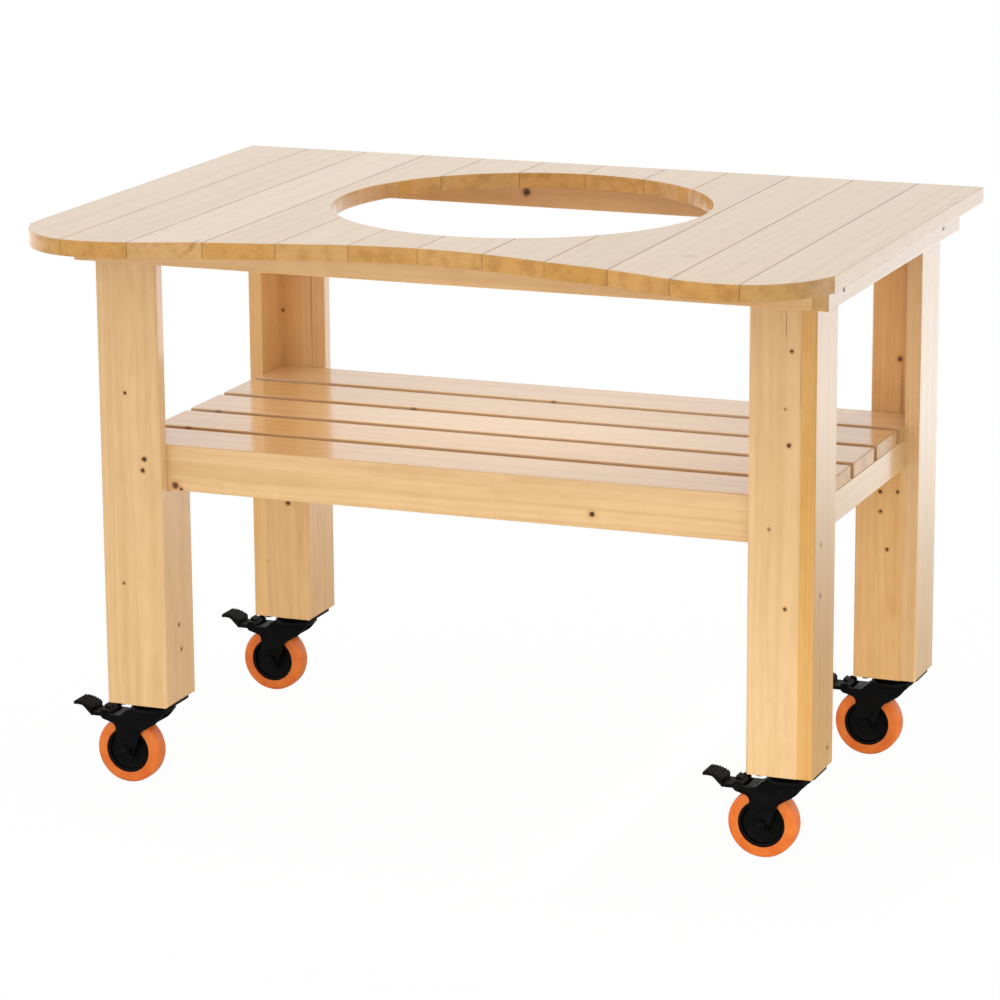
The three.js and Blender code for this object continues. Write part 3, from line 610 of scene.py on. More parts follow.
# Tone, warmth, the pith's place across and under the board, and how dark the joint on its right is.
WORKTOP_BOARDS = {
    "01": (0.97, 0.2, (20, 70), 0.3),
    "02": (0.96, 0.3, (-60, 40), 0.7),
    "03": (1.05, -0.2, (10, -90), 0.95),
    "04": (0.98, 0.3, (45, 60), 0.6),
    "05": (1.00, 0.0, (-15, 120), 0.6),
    "06": (0.96, 0.25, (70, -30), 0.35),
    "07": (1.00, 0.1, (0, 85), 0.7),
    "08": (0.97, 0.25, (-40, -60), 0.4),
    "09": (0.93, 0.4, (30, 140), 0.85),
    "10": (1.00, 0.2, (-75, 35), 0.7),
    "11": (0.98, 0.3, (5, -75), 0.8),
    "12": (1.00, 0.1, (50, 95), 0.0),
}
# Here and below, each knot is its centre and its radii in mm, and how dark it is. The row of knots in
# board 03 is the crack in its front end.
WORKTOP_KNOTS = {
    "03": [
        ((-294.5, -368, 850.5), (4.2, 14, 3.8), 0.5),
        ((-297.5, -368, 846.0), (4.4, 14, 4.0), 0.55),
        ((-301.5, -368, 841.5), (4.8, 14, 4.0), 0.55),
        ((-306.5, -370, 837.0), (5.4, 14, 4.0), 0.5),
        ((-312.5, -370, 833.0), (6.0, 14, 3.6), 0.45),
        ((-352.0, -380, 830.0), (10.0, 16, 3.4), 0.5),
    ],
    "10": [((373, -246, 852), (8, 9, 8), 0.25)],
}
# The right-hand board keeps a planed side, only a little darker than its top.
SIDES_SAWN = {"12": 0.3}
left_joint = 0.0
for number, (tone, warmth, pith, right_joint) in WORKTOP_BOARDS.items():
    pieces = [n for n in NODES if n.startswith(f"worktop_board_{number}")]
    low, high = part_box(pieces[0])
    finish = spruce(
        f"lacquered_spruce_worktop_{number}", middle_of(pieces[0]), "Y", WORKTOP_SEED * int(number), pith,
        tone, warmth, WORKTOP_KNOTS.get(number, ()),
        seams=((low[0] / MM, left_joint), (high[0] / MM, right_joint)),
        sawn_sides=SIDES_SAWN.get(number, 1.0),
    )
    for node in pieces:
        softened(node, finish)
    left_joint = right_joint
print("worktop boards:", len(WORKTOP_BOARDS))

# %% Apron
APRON_SEED, APRON_SEED_STEP = 31.3, 2.9
APRON_PITH = (8, 45)
APRON_WARMTH = 0.2
# The aprons' ends are sanded and lacquered pale, unlike the worktop's.
APRON_END_WOOD = 0.35
APRON_TONES = {"right": 0.9}
APRON_KNOTS = {"back": [((-101.7, 377.6, 811.5), (6, 8, 6.5), 0.95)]}
for index, side in enumerate(("front", "back", "left", "right")):
    node = f"apron_{side}"
    grain = "X" if side in ("front", "back") else "Y"
    finish = spruce(
        f"lacquered_spruce_apron_{side}", middle_of(node), grain, APRON_SEED + APRON_SEED_STEP * index,
        APRON_PITH, APRON_TONES.get(side, 1.0), APRON_WARMTH, APRON_KNOTS.get(side, ()),
        end_wood=APRON_END_WOOD,
    )
    softened(node, finish)
print("apron strips:", index + 1)

# %% Legs
# Front faces of the front legs and of the back legs, below their pockets and in them, as Y in mm.
FRONT_LEG_FACE = -224.4
BACK_LEG_FACE = 282.6
BACK_POCKET_FACE = 355.6
KNOT_REACH = 5.4


def on_front(face, *knots):
    """Knots on a front face, from their X, Z, radius across and radius up in mm, and how dark they are."""
    return [((x, face, z), (across, KNOT_REACH, up), dark) for x, z, across, up, dark in knots]


LEG_KNOTS = {
    "leg_post_front_left": on_front(
        FRONT_LEG_FACE, (-484.2, 596.1, 2.5, 2.9, 1.0), (-456.1, 501.1, 4.3, 3.8, 1.0),
        (-459.1, 484.4, 3.4, 3.8, 1.0), (-494.6, 314.2, 2.5, 2.7, 0.7),
    ) + [
        ((-430.6, -178.3, 245.9), (5.4, 3.2, 3.2), 0.9),
        ((-430.6, -172.5, 207.8), (5.4, 3.2, 3.2), 0.9),
    ],
    "leg_post_front_right": on_front(
        FRONT_LEG_FACE, (511.2, 727.9, 2.7, 2.9, 0.9), (508.7, 598.5, 3.2, 3.4, 1.0),
        (481.6, 480.2, 2.7, 2.9, 0.5), (503.0, 647.9, 2.2, 2.3, 0.5), (505.4, 370.6, 2.7, 2.9, 0.9),
        (503.2, 762.0, 0.5, 22.0, 0.6), (524.4, 690.0, 0.6, 60.0, 0.5),
    ),
    "leg_side_board_front_right": [
        ((546.4, y, z), (5.4, 4.5, 3.6), 0.7) for y, z in ((-195.6, 458.1), (-194.9, 385.7), (-153.4, 158.5))
    ],
    "leg_post_back_left": [
        ((-501.2, BACK_POCKET_FACE, 606.7), (2.7, 5.4, 2.9), 0.8),
        ((-452.5, BACK_POCKET_FACE, 650.0), (1.2, 6, 150), 0.3),
    ] + on_front(BACK_LEG_FACE, (-465.4, 317, 4, 3.2, 1.0), (-505, 220.5, 2.7, 2.7, 0.7)),
    "leg_post_back_right": [
        ((495, BACK_POCKET_FACE, 600.8), (4.1, 5.4, 4.3), 1.0),
        ((498.5, BACK_POCKET_FACE, 540), (2.6, 6, 60), 0.25),
    ] + on_front(
        BACK_LEG_FACE, (489.1, 416.4, 3.1, 3.2, 1.0), (515.1, 418.0, 2.7, 2.9, 0.8),
        (489.6, 386.4, 2.7, 2.9, 0.9), (500.6, 329.8, 2.7, 2.9, 0.9),
    ),
}
# Tone and warmth of the legs' pieces, and of those that differ.
LEG_TONE = (0.98, 0.1)
LEG_TONES_APART = {
    "leg_side_board_front_right": (0.9, 1.2),
    "leg_post_back_left": (1.0, 0.4),
    "leg_side_board_back_left": (1.08, 0.5),
    "leg_post_back_right": (1.0, 0.7),
}
LEG_SEED, LEG_SEED_STEP = 47.9, 3.1
# The pith's place, and a shift of the seed that keeps the two pieces of a leg different.
LEG_PIECES = {"post": ((18, 60), 4), "side_board": ((40, -25), 10)}
for index, place in enumerate(PLACES):
    for kind, (pith, shift) in LEG_PIECES.items():
        node = f"leg_{kind}_{place}"
        finish = spruce(
            f"lacquered_spruce_{node}", middle_of(node), "Z", LEG_SEED + LEG_SEED_STEP * index + shift, pith,
            *LEG_TONES_APART.get(node, LEG_TONE), LEG_KNOTS.get(node, ()),
        )
        softened(node, finish)
print("legs:", index + 1)

# %% Shelf
SLAT_KNOT_HEIGHT = 516.0
SHELF_KNOTS = {
    "shelf_slat_2": [((-452.1, -88, SLAT_KNOT_HEIGHT), (5, 4, 5), 1.0)],
    "shelf_slat_3": [((-457.7, 26.4, SLAT_KNOT_HEIGHT), (5, 4, 5), 1.0)],
    "shelf_slat_4": [((-191, 140.8, SLAT_KNOT_HEIGHT), (5, 4, 5), 1.0)],
    "shelf_slat_5": [((-12.4, 255.2, SLAT_KNOT_HEIGHT), (5, 4, 5), 1.0)],
    "shelf_rail_front": [
        ((-418.5, -202.4, 460.5), (5.8, 6, 5.2), 0.85),
        ((-409.5, -202.4, 456.0), (3.0, 6, 2.6), 0.8),
        ((218.4, -202.4, 473.3), (4.2, 6, 3.8), 1.0),
    ],
}
# Tone, warmth, and how far the front edge is darkened with painted shade, which stands for the shade of the
# gap between two slats, the only place it shows through.
SHELF_TONES = {
    "shelf_slat_1": (1.0, 0.0, 0.0),
    "shelf_slat_2": (0.99, 0.3, 0.6),
    "shelf_slat_3": (1.02, -0.1, 0.6),
    "shelf_slat_4": (0.97, 0.3, 0.6),
    "shelf_slat_5": (1.02, 0.0, 0.6),
}
SHELF_SEED, SHELF_SEED_STEP = 71.1, 4.3
# The pith lies on the right of one piece and on the left of the next.
SHELF_PITH = (22, 55)
SHELF_LONG = [f"shelf_slat_{number}" for number in range(1, 6)] + ["shelf_rail_front", "shelf_rail_back"]
SHELF_CROSSWISE = ["shelf_rail_left", "shelf_rail_right", "shelf_middle_bearer"]
for index, node in enumerate(SHELF_LONG + SHELF_CROSSWISE):
    tone, warmth, painted_front_shade = SHELF_TONES.get(node, (1.0, 0.1, 0.0))
    finish = spruce(
        f"lacquered_spruce_{node}", middle_of(node), "Y" if node in SHELF_CROSSWISE else "X",
        SHELF_SEED + SHELF_SEED_STEP * index, ((-1) ** index * SHELF_PITH[0], SHELF_PITH[1]),
        tone, warmth, SHELF_KNOTS.get(node, ()), painted_front_shade=painted_front_shade,
    )
    softened(node, finish)
print("wooden materials:", len([m for m in bpy.data.materials if "spruce" in m.name]))

# %% [markdown]
# ## Caster finishes
# Fork, plate and bolts are pressed or turned steel with a black powder coat: satin, with a fine orange
# peel. Wheel hub and pedal are moulded black nylon, a little greyer where the ribs of the pedal are
# scuffed. The tread is cast polyurethane, an even orange that glows at its rim because light enters it.

# %% Powder-coated steel
POWDER_BLACK = "#040404"
POWDER_GREY = "#0B0B0B"
POWDER_IOR = 1.24
PEEL_MM = 0.9
PEEL_DEPTH = 0.00005
DUST_MM = 14.0


def millimetre_point(tree):
    """Object coordinates in millimetres."""
    place = add(tree, "TexCoord")
    return add(tree, "VectorMath", "SCALE", in_0=place.outputs["Object"], Scale=1 / MM)


powder_coat, tree, shader = new_material("powder_coated_steel_black")
point = millimetre_point(tree)
peel = add(tree, "TexNoise", Vector=point, Scale=1 / PEEL_MM, Detail=2.0)
dust_and_gap_shade = add(tree, "TexNoise", Vector=point, Scale=1 / DUST_MM, Detail=3.0)
dusty = add(tree, "MapRange", SMOOTH, Value=dust_and_gap_shade, From_Min=0.35, From_Max=0.7)
coat = add(tree, "Mix", COLOURS, Factor=dusty, A=linear(POWDER_BLACK), B=linear(POWDER_GREY))
sheen = add(tree, "MapRange", Value=dust_and_gap_shade, From_Min=0.3, From_Max=0.7, To_Min=0.34, To_Max=0.5)
bump = add(tree, "Bump", Height=peel, Distance=PEEL_DEPTH, Strength=0.4)
feed(tree, shader, Base_Color=coat, Roughness=sheen, IOR=POWDER_IOR, Normal=bump)

# %% Moulded nylon
NYLON_BLACK = "#050403"
NYLON_GREY = "#181615"
NYLON_IOR = 1.26
HUB_ROUGHNESS = 0.45
GRIT_MM = 0.5
HUB_GRIT_DEPTH = 0.00003
PEDAL_GRIT_DEPTH = 0.00005
CLOUD_MM = 18.0
SCUFF_MM = 3.0

hub_nylon, tree, shader = new_material("moulded_nylon_hub_black")
point = millimetre_point(tree)
grit = add(tree, "TexNoise", Vector=point, Scale=1 / GRIT_MM, Detail=1.0)
cloud = add(tree, "TexNoise", Vector=point, Scale=1 / CLOUD_MM, Detail=2.0)
worn = add(tree, "MapRange", Value=cloud, From_Min=0.3, From_Max=0.8, To_Max=0.3)
nylon = add(tree, "Mix", COLOURS, Factor=worn, A=linear(NYLON_BLACK), B=linear(NYLON_GREY))
bump = add(tree, "Bump", Height=grit, Distance=HUB_GRIT_DEPTH, Strength=0.4)
feed(tree, shader, Base_Color=nylon, Roughness=HUB_ROUGHNESS, IOR=NYLON_IOR, Normal=bump)

pedal_nylon, tree, shader = new_material("moulded_nylon_pedal_black")
point = millimetre_point(tree)
grit = add(tree, "TexNoise", Vector=point, Scale=1 / GRIT_MM, Detail=1.0)
scuff = add(tree, "TexNoise", Vector=point, Scale=1 / SCUFF_MM, Detail=4.0, Roughness=0.7)
worn = add(tree, "MapRange", Value=scuff, From_Min=0.45, From_Max=0.75, To_Min=0.1, To_Max=0.8)
nylon = add(tree, "Mix", COLOURS, Factor=worn, A=linear(NYLON_BLACK), B=linear(NYLON_GREY))
sheen = add(tree, "MapRange", Value=scuff, From_Min=0.3, From_Max=0.7, To_Min=0.42, To_Max=0.65)
bump = add(tree, "Bump", Height=grit, Distance=PEDAL_GRIT_DEPTH, Strength=0.6)
feed(tree, shader, Base_Color=nylon, Roughness=sheen, IOR=NYLON_IOR, Normal=bump)

# %% Cast polyurethane
TREAD_ORANGE = "#E67F2E"
TREAD_DEEP = "#D8641C"
TREAD_ROUGHNESS = 0.33
TREAD_IOR = 1.5
SKIN_MM = 1.2
SKIN_DEPTH = 0.00004
# How much of the light enters, and how far its red, green and blue go in, in metres.
TREAD_SUBSURFACE = 0.25
LIGHT_REACH = (0.006, 0.002, 0.0008)

polyurethane, tree, shader = new_material("cast_polyurethane_orange")
point = millimetre_point(tree)
cloud = add(tree, "TexNoise", Vector=point, Scale=1 / CLOUD_MM, Detail=2.0)
skin = add(tree, "TexNoise", Vector=point, Scale=1 / SKIN_MM, Detail=2.0)
deeper = add(tree, "MapRange", Value=cloud, From_Min=0.3, From_Max=0.75)
orange = add(tree, "Mix", COLOURS, Factor=deeper, A=linear(TREAD_ORANGE), B=linear(TREAD_DEEP))
bump = add(tree, "Bump", Height=skin, Distance=SKIN_DEPTH, Strength=0.3)
feed(
    tree, shader, Base_Color=orange, Roughness=TREAD_ROUGHNESS, IOR=TREAD_IOR, Normal=bump,
    Subsurface_Weight=TREAD_SUBSURFACE, Subsurface_Radius=LIGHT_REACH, Subsurface_Scale=1.0,
)
print("finishes:", powder_coat.name, hub_nylon.name, pedal_nylon.name, polyurethane.name)

# %% [markdown]
# ## Shaping helpers for the casters
# Each caster piece is shaped in millimetres about the caster's own swivel axis, with the floor at zero,
# and carried to its leg at the end. Two ways of making cover nearly all of them. A turned piece is a profile
# that is spun round an axle and has its roundings drawn in. A plate starts as a face with a few corners, each
# eased by its own length. It is extruded to its thickness, and a bevel rounds its sharp edges.


# %% Turning
AROUND_Y = (0, 1, 0)
AROUND_Z = (0, 0, 1)


def spun(bm, profile, centre, axis, steps=72):
    """Spins a closed profile of (radius, distance along the axis) once round an axis through centre."""
    axis = Vector(axis)
    points = [bm.verts.new(Vector(centre) + Vector((r, 0, 0)) + axis * along) for r, along in profile]
    edges = [bm.edges.new(ends) for ends in zip(points, points[1:] + points[:1])]
    bmesh.ops.spin(
        bm, geom=points + edges, cent=centre, axis=axis, dvec=(0, 0, 0),
        angle=2 * math.pi, steps=steps, use_merge=True,
    )
    bmesh.ops.remove_doubles(bm, verts=bm.verts, dist=1e-4)
    bmesh.ops.recalc_face_normals(bm, faces=bm.faces)


# %% Plates
ROUND_PROFILE = 0.5
CORNER_SEGMENTS = 6
EDGE_SEGMENTS = 2


def eased_slab(bm, corners, thickness, middle_y=0.0):
    """A plate in the XZ plane from corners (x, z, length eased off each side), extruded along Y."""
    near_y = middle_y - thickness / 2
    points = [bm.verts.new((x, near_y, z)) for x, z, _ in corners]
    bm.faces.new(points)
    for point, (_, _, ease) in zip(points, corners):
        if ease:
            bmesh.ops.bevel(
                bm, geom=[point], offset=ease, affect="VERTICES", segments=CORNER_SEGMENTS,
                profile=ROUND_PROFILE, material=-1,
            )
    face = [f for f in bm.faces if all(abs(v.co.y - near_y) < 1e-5 for v in f.verts)][-1]
    grown = bmesh.ops.extrude_face_region(bm, geom=[face])
    moved = [v for v in grown["geom"] if isinstance(v, bmesh.types.BMVert)]
    bmesh.ops.translate(bm, verts=moved, vec=(0, thickness, 0))


def hexagon(bm, radius, height, centre, axis):
    """A hexagonal head or nut along an axis, from centre outwards."""
    turn = Vector(AROUND_Z).rotation_difference(Vector(axis)).to_matrix().to_4x4()
    bmesh.ops.create_cone(
        bm, cap_ends=True, segments=6, radius1=radius, radius2=radius, depth=height,
        matrix=Matrix.Translation(Vector(centre) + Vector(axis) * height / 2) @ turn,
    )


def round_edges(bm, width, sharper_than=35):
    """Bevels each edge that is sharper than an angle in degrees."""
    edges = [e for e in bm.edges if e.is_manifold and e.calc_face_angle(0) > math.radians(sharper_than)]
    bmesh.ops.bevel(
        bm, geom=edges, offset=width, affect="EDGES", segments=EDGE_SEGMENTS, profile=ROUND_PROFILE,
        material=-1, clamp_overlap=True,
    )


# %% Placing
ROUNDED_ANGLE = math.radians(50)


def swivel_axis(place):
    """Where a caster's swivel axis stands, in mm."""
    low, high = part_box(f"caster_plate_{place}")
    return Vector(((low[0] + high[0]) / 2, (low[1] + high[1]) / 2, 0)) / MM


def caster_piece(shape, name, place, material, body, node):
    """Carries a shape from its own swivel axis to a caster's leg, and stands it for its CAD node."""
    bm = shape.copy()
    bmesh.ops.recalc_face_normals(bm, faces=bm.faces)
    bmesh.ops.translate(bm, verts=bm.verts, vec=swivel_axis(place))
    bmesh.ops.scale(bm, verts=bm.verts, vec=(MM, MM, MM))
    mesh = bpy.data.meshes.new(f"{name}_{place}")
    bm.to_mesh(mesh)
    bm.free()
    mesh.materials.append(material)
    for polygon in mesh.polygons:
        polygon.use_smooth = True
    mesh.set_sharp_from_angle(angle=ROUNDED_ANGLE)
    piece = placed(f"{name}_{place}", mesh)
    weights = piece.modifiers.new("flat_faces_stay_flat", "WEIGHTED_NORMAL")
    weights.keep_sharp = True
    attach(piece, body)
    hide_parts(f"{node}_{place}")


# %% [markdown]
# ## Mounting plate
# The plate is screwed up into the end grain of the leg with four bolts. Under it sits the fixed ring of
# the ball race. Both are pressed steel, so the plate is a slab with rounded corners and the ring is spun.

# %% Mounting plate
PLATE_LENGTH = 92.0
PLATE_WIDTH = 68.0
PLATE_BOTTOM = 127.0
PLATE_THICKNESS = 4.0
PLATE_CORNER = 9.0
PLATE_EDGE = 0.5
BOLT_INSET = 11.0
BOLT_RADIUS = 6.0
BOLT_HEIGHT = 4.0
RACE_RADIUS = 27.0
RACE_BOTTOM = 121.0
# Bolt heads and race reach this far into the plate.
SUNK = 0.2
RACE_PROFILE = [
    (0, RACE_BOTTOM), (RACE_RADIUS - 1, RACE_BOTTOM), (RACE_RADIUS, RACE_BOTTOM + 1),
    (RACE_RADIUS, PLATE_BOTTOM - 1), (RACE_RADIUS + 1, PLATE_BOTTOM + SUNK), (0, PLATE_BOTTOM + SUNK),
]

plate_shape = bmesh.new()
half_length, half_width = PLATE_LENGTH / 2, PLATE_WIDTH / 2
eased_slab(
    plate_shape,
    [(x * half_length, z * half_width, PLATE_CORNER) for x, z in ((-1, -1), (1, -1), (1, 1), (-1, 1))],
    PLATE_THICKNESS,
)
bmesh.ops.rotate(
    plate_shape, verts=plate_shape.verts, cent=(0, 0, 0), matrix=Matrix.Rotation(math.pi / 2, 3, "X")
)
bmesh.ops.translate(plate_shape, verts=plate_shape.verts, vec=(0, 0, PLATE_BOTTOM + PLATE_THICKNESS / 2))
for x in (-1, 1):
    for y in (-1, 1):
        bolt_place = (x * (half_length - BOLT_INSET), y * (half_width - BOLT_INSET), PLATE_BOTTOM + SUNK)
        hexagon(plate_shape, BOLT_RADIUS, BOLT_HEIGHT, bolt_place, (0, 0, -1))
round_edges(plate_shape, PLATE_EDGE)
spun(plate_shape, RACE_PROFILE, (0, 0, 0), AROUND_Z)
for place in PLACES:
    caster_piece(plate_shape, "mounting_plate", place, powder_coat, "table", "caster_plate")
print("plate faces:", len(plate_shape.faces))

# %% [markdown]
# ## Swivel fork
# A fork is pressed from one sheet: a round head under the ball race, and two cheeks that reach down and
# back to the axle, joined over the tread by a short crown. The wheel trails behind the swivel axis, so the
# table steers by itself. Each cheek is a plate with eased corners. Its lower end is round about the axle
# and an ear at its back carries the pedal's pin. The axle is a bolt with a hexagonal head and nut.

# %% Swivel fork
CHEEK_THICKNESS = 3.5
CHEEK_GAP = 36.0
CHEEK_CORNERS = [
    (28, 114.6, 1.5), (28, 112.6, 1), (16, 97.6, 5), (-10, 81.6, 5), (-26.8, 35, 7.5), (-48, 35, 12.5),
    (-51, 90.6, 6), (-75, 97.2, 5.5), (-75, 111, 6.5), (-61, 111, 5.5), (-61, 104, 1), (-42, 104, 4),
    (-31, 114.6, 2),
]
CROWN_CORNERS = [
    (-28.5, 114.6, 0), (-31, 114.6, 1), (-42, 104, 2), (-56, 104, 0.8), (-56, 101.5, 0.8), (-39.5, 101.5, 2),
]
FORK_EDGE = 0.6
HEAD_RADIUS = 31.0
HEAD_BOTTOM = 111.6
HEAD_TOP = 120.6
KINGPIN_RADIUS = 9.0
KINGPIN_DROP = 5.0
WHEEL_TRAIL = 35.0
WHEEL_RADIUS = 50.0
AXLE_RADIUS = 6.0
NUT_RADIUS = 9.8
NUT_HEIGHT = 4.2
PEDAL_PIN_RADIUS = 3.0
PEDAL_PIVOT = (-68.0, 104.0)
HEAD_PROFILE = [
    (0, HEAD_BOTTOM - KINGPIN_DROP), (KINGPIN_RADIUS - 1, HEAD_BOTTOM - KINGPIN_DROP),
    (KINGPIN_RADIUS, HEAD_BOTTOM - KINGPIN_DROP + 1), (KINGPIN_RADIUS, HEAD_BOTTOM),
    (HEAD_RADIUS - 2, HEAD_BOTTOM), (HEAD_RADIUS, HEAD_BOTTOM + 1.5), (HEAD_RADIUS, HEAD_TOP - 4),
    (HEAD_RADIUS - 1, HEAD_TOP - 1.5), (HEAD_RADIUS - 3, HEAD_TOP), (0, HEAD_TOP),
]
# The end of the axle's thread: radius, and distance out from the nut's face.
THREAD_END = [(0, -0.5), (4.6, -0.5), (4.6, 0.7), (3.8, 1.4), (0, 1.6)]

fork_shape = bmesh.new()
cheek_out = (CHEEK_GAP + CHEEK_THICKNESS) / 2
outer = cheek_out + CHEEK_THICKNESS / 2
axle_middle = (-WHEEL_TRAIL, 0, WHEEL_RADIUS)
for side in (-1, 1):
    eased_slab(fork_shape, CHEEK_CORNERS, CHEEK_THICKNESS, side * cheek_out)
eased_slab(fork_shape, CROWN_CORNERS, CHEEK_GAP + CHEEK_THICKNESS)
for side in (-1, 1):
    hexagon(fork_shape, NUT_RADIUS, NUT_HEIGHT, (-WHEEL_TRAIL, side * outer, WHEEL_RADIUS), (0, side, 0))
round_edges(fork_shape, FORK_EDGE)
spun(fork_shape, HEAD_PROFILE, (0, 0, 0), AROUND_Z)
spun(
    fork_shape, [(0, -outer), (AXLE_RADIUS, -outer), (AXLE_RADIUS, outer), (0, outer)],
    axle_middle, AROUND_Y, 32,
)
for side in (-1, 1):
    tip = side * (outer + NUT_HEIGHT)
    spun(fork_shape, [(r, tip + side * out) for r, out in THREAD_END], axle_middle, AROUND_Y, 24)
spun(
    fork_shape,
    [(0, -outer - 0.8), (PEDAL_PIN_RADIUS, -outer - 0.3), (PEDAL_PIN_RADIUS, outer + 0.3), (0, outer + 0.8)],
    (PEDAL_PIVOT[0], 0, PEDAL_PIVOT[1]), AROUND_Y, 24,
)
for place in PLACES:
    caster_piece(fork_shape, "swivel_fork", place, powder_coat, f"fork_{place}", "caster_fork")
print("fork faces:", len(fork_shape.faces))

# %% [markdown]
# ## Wheel
# The hub is one nylon moulding: a rim that the tread is cast round, a dished web, and a boss for the
# axle. The tread has rounded shoulders, which is why its orange band looks soft against the light. Both are
# turned forms, so each is a closed profile spun round the axle.

# %% Wheel hub
HUB_PROFILE = [
    (6.3, -17.5), (11.6, -17.5), (13.0, -16.2), (13.6, -9.6), (15.0, -8.8), (27.0, -8.8), (28.4, -9.6),
    (29.2, -13.0), (30.2, -14.0), (33.4, -14.0), (34.0, -13.4),
]
hub_shape = bmesh.new()
spun(
    hub_shape, HUB_PROFILE + [(r, -along) for r, along in reversed(HUB_PROFILE)], axle_middle, AROUND_Y, 96
)
print("hub faces:", len(hub_shape.faces))

# %% Tread
TREAD_PROFILE = [
    (34.0, -14.6), (34.6, -15.0), (43.8, -15.0), (46.6, -14.2), (48.6, -12.4), (49.5, -10.0), (49.9, -6.0),
    (50.0, 0.0),
]
tread_shape = bmesh.new()
spun(
    tread_shape, TREAD_PROFILE + [(r, -along) for r, along in reversed(TREAD_PROFILE[:-1])],
    axle_middle, AROUND_Y, 96,
)
for place in PLACES:
    wheel = f"wheel_{place}"
    caster_piece(hub_shape, "wheel_hub", place, hub_nylon, wheel, "caster_hub")
    caster_piece(tread_shape, "wheel_tread", place, polyurethane, wheel, "caster_tread")
print("tread faces:", len(tread_shape.faces))

# %% [markdown]
# ## Brake pedal
# A foot presses the ribbed pad down, and the shoe behind the pin grips the tread. The small upright tab is
# for letting the brake off with the toe. The pad starts as a narrow grid whose rows are the ribs: it is
# bent to the pad's crown, thickened, and every second row is inset and lifted. Its inner end bends down
# into the arm.

# %% Brake pedal
PAD_INNER = -91.0
PAD_TIP = -120.0
PAD_WIDTH = 36.0
PAD_THICKNESS = 4.5
PAD_INNER_TOP = 110.0
PAD_TIP_TOP = 117.0
PAD_CROWN = 3.0
RIB_COUNT = 7
RIB_HEIGHT = 1.3
RIB_INSET = 0.5
ARM_WIDTH = 33.0
ARM_BOTTOM = 98.0
TAB_WIDTH = 18.0

pedal_shape = bmesh.new()
rows = 2 * RIB_COUNT + 1
made = bmesh.ops.create_grid(pedal_shape, x_segments=rows, y_segments=1, size=0.5)
for vert in made["verts"]:
    share = vert.co.x + 0.5
    crown = 4 * PAD_CROWN * share * (1 - share)
    vert.co = Vector((
        PAD_TIP + (PAD_INNER - PAD_TIP) * share,
        vert.co.y * PAD_WIDTH,
        PAD_TIP_TOP + (PAD_INNER_TOP - PAD_TIP_TOP) * share + crown,
    ))
strip = sorted(pedal_shape.faces, key=lambda f: f.calc_center_median().x)
grown = bmesh.ops.extrude_face_region(pedal_shape, geom=strip)
# The underside follows the top as far as the middle, then runs down to the arm's underside.
middle_bottom = (PAD_INNER_TOP + PAD_TIP_TOP) / 2 + PAD_CROWN - PAD_THICKNESS
for vert in [v for v in grown["geom"] if isinstance(v, bmesh.types.BMVert)]:
    share = (vert.co.x - PAD_TIP) / (PAD_INNER - PAD_TIP)
    past = max(2 * share - 1, 0)
    vert.co.z = middle_bottom + (ARM_BOTTOM - middle_bottom) * past if past else vert.co.z - PAD_THICKNESS
bmesh.ops.recalc_face_normals(pedal_shape, faces=pedal_shape.faces)
top = sorted([f for f in pedal_shape.faces if f.normal.z > 0.5], key=lambda f: f.calc_center_median().x)
bmesh.ops.inset_individual(pedal_shape, faces=top[1::2], thickness=RIB_INSET, depth=0.0)
lifted = bmesh.ops.extrude_discrete_faces(pedal_shape, faces=top[1::2])
for face in lifted["faces"]:
    bmesh.ops.translate(pedal_shape, verts=face.verts, vec=face.normal * RIB_HEIGHT)
print("pad faces:", len(pedal_shape.faces))

# %% Pedal arm, tab and shoe
SHOE_WIDTH = 24.0
PEDAL_EDGE = 0.4
PEDAL_SHARP = 50
ARM_CORNERS = [
    (-66, 98.2, 1.5), (-62.2, 104, 1), (-66, 109.8, 3), (-76, 104, 2), (-92.5, 104, 0.5), (-92.5, 98.2, 0.8),
]
TAB_CORNERS = [(-66, 104, 0.5), (-66, 111, 1.5), (-74, 115, 1.5), (-74, 104, 0.5)]
SHOE_CORNERS = [(-65.1, 104.8, 0.5), (-61.8, 92.7, 0.8), (-67.5, 91.1, 0.8), (-70.9, 103.2, 0.5)]
eased_slab(pedal_shape, ARM_CORNERS, ARM_WIDTH)
eased_slab(pedal_shape, TAB_CORNERS, TAB_WIDTH)
eased_slab(pedal_shape, SHOE_CORNERS, SHOE_WIDTH)
round_edges(pedal_shape, PEDAL_EDGE, PEDAL_SHARP)
for place in PLACES:
    pedal = f"pedal_{place}"
    caster_piece(pedal_shape, "brake_lever", place, pedal_nylon, pedal, "brake_pedal")
print("pedal faces:", len(pedal_shape.faces))
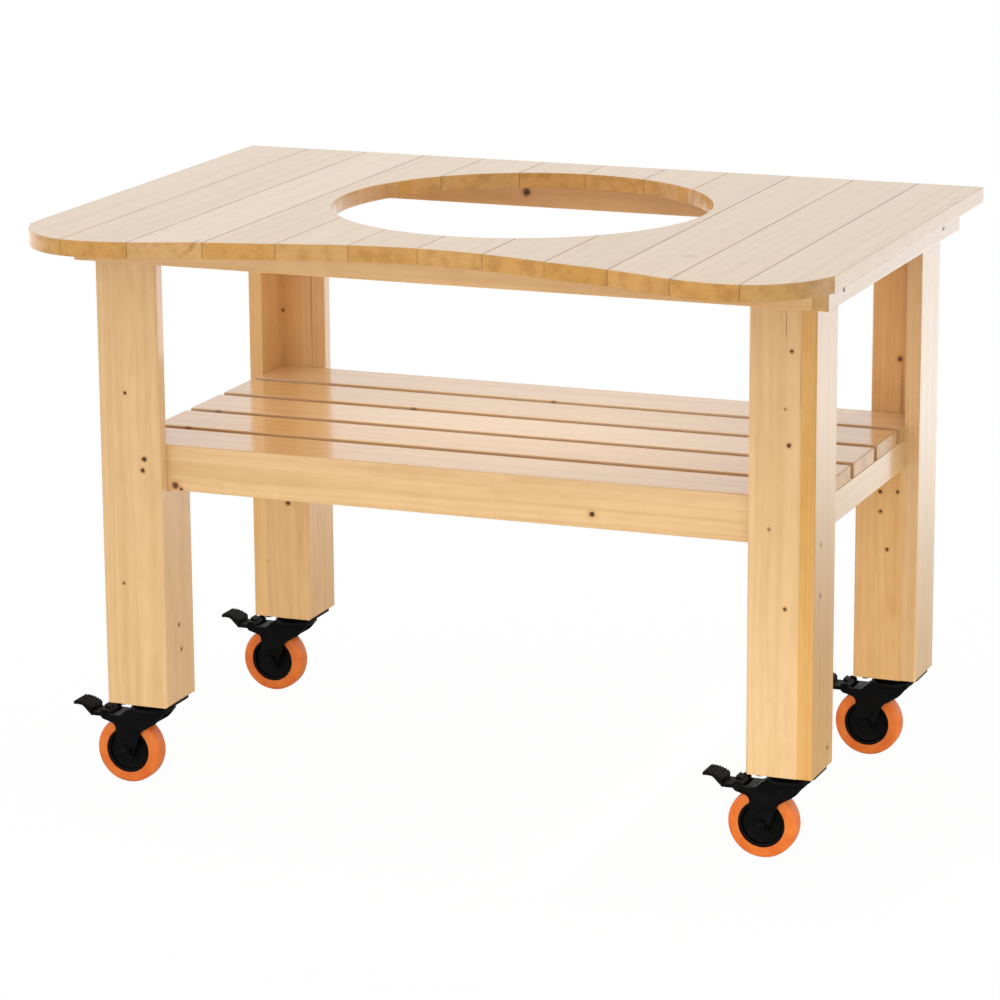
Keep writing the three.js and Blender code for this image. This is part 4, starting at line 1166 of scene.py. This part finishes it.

# %% [markdown]
# ## Apron screws
# On each end of the table a countersunk screw holds the apron to the leg behind it. The head is a shallow
# cone with a small six-lobed recess, spun from a turned profile with a dished middle. Its dark dot is
# painted shade: the plating's colours are taken near black, as the heads look in their shade.

# %% Apron screws
SCREW_RADIUS = 4.8
SCREW_HEIGHT = 808.0
SCREW_YS = (-178.0, 312.0)
SCREW_PROFILE = [
    (0, -0.8), (1.4, -0.8), (2.0, 0.1), (SCREW_RADIUS - 0.4, 0.25), (SCREW_RADIUS, 0.0),
    (SCREW_RADIUS - 1, -1.2), (0, -1.2),
]
# Painted shade: both plating colours are near black and far darker than yellow zinc, so each head shows as a
# dark dot, as it looks in shade.
SHADED_ZINC_LIGHT = "#33281A"
SHADED_ZINC_DARK = "#1A140D"
ZINC_ROUGHNESS = 0.35

zinc, tree, shader = new_material("zinc_plated_steel_painted_shade")
point = millimetre_point(tree)
stain = add(tree, "TexNoise", Vector=point, Scale=1 / SCUFF_MM, Detail=2.0)
plated = add(tree, "Mix", COLOURS, Factor=stain, A=linear(SHADED_ZINC_LIGHT), B=linear(SHADED_ZINC_DARK))
feed(tree, shader, Base_Color=plated, Metallic=1.0, Roughness=ZINC_ROUGHNESS)
for side, direction in (("left", -1), ("right", 1)):
    low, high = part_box(f"apron_{side}")
    face_x = (high[0] if direction > 0 else low[0]) / MM
    outwards = Matrix.Rotation(direction * math.pi / 2, 3, "Y")
    screws = bmesh.new()
    for screw_y in SCREW_YS:
        screw = bmesh.new()
        spun(screw, SCREW_PROFILE, (0, 0, 0), AROUND_Z, 24)
        bmesh.ops.rotate(screw, verts=screw.verts, cent=(0, 0, 0), matrix=outwards)
        bmesh.ops.translate(screw, verts=screw.verts, vec=(face_x, screw_y, SCREW_HEIGHT))
        bmesh.ops.recalc_face_normals(screw, faces=screw.faces)
        carried = bpy.data.meshes.new("screw_head")
        screw.to_mesh(carried)
        screws.from_mesh(carried)
        screw.free()
    bmesh.ops.scale(screws, verts=screws.verts, vec=(MM, MM, MM))
    mesh = bpy.data.meshes.new(f"apron_screws_{side}")
    screws.to_mesh(mesh)
    screws.free()
    mesh.materials.append(zinc)
    piece = placed(f"apron_screws_{side}", mesh)
    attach(piece, "table")
print("screws at", SCREW_HEIGHT, "mm")
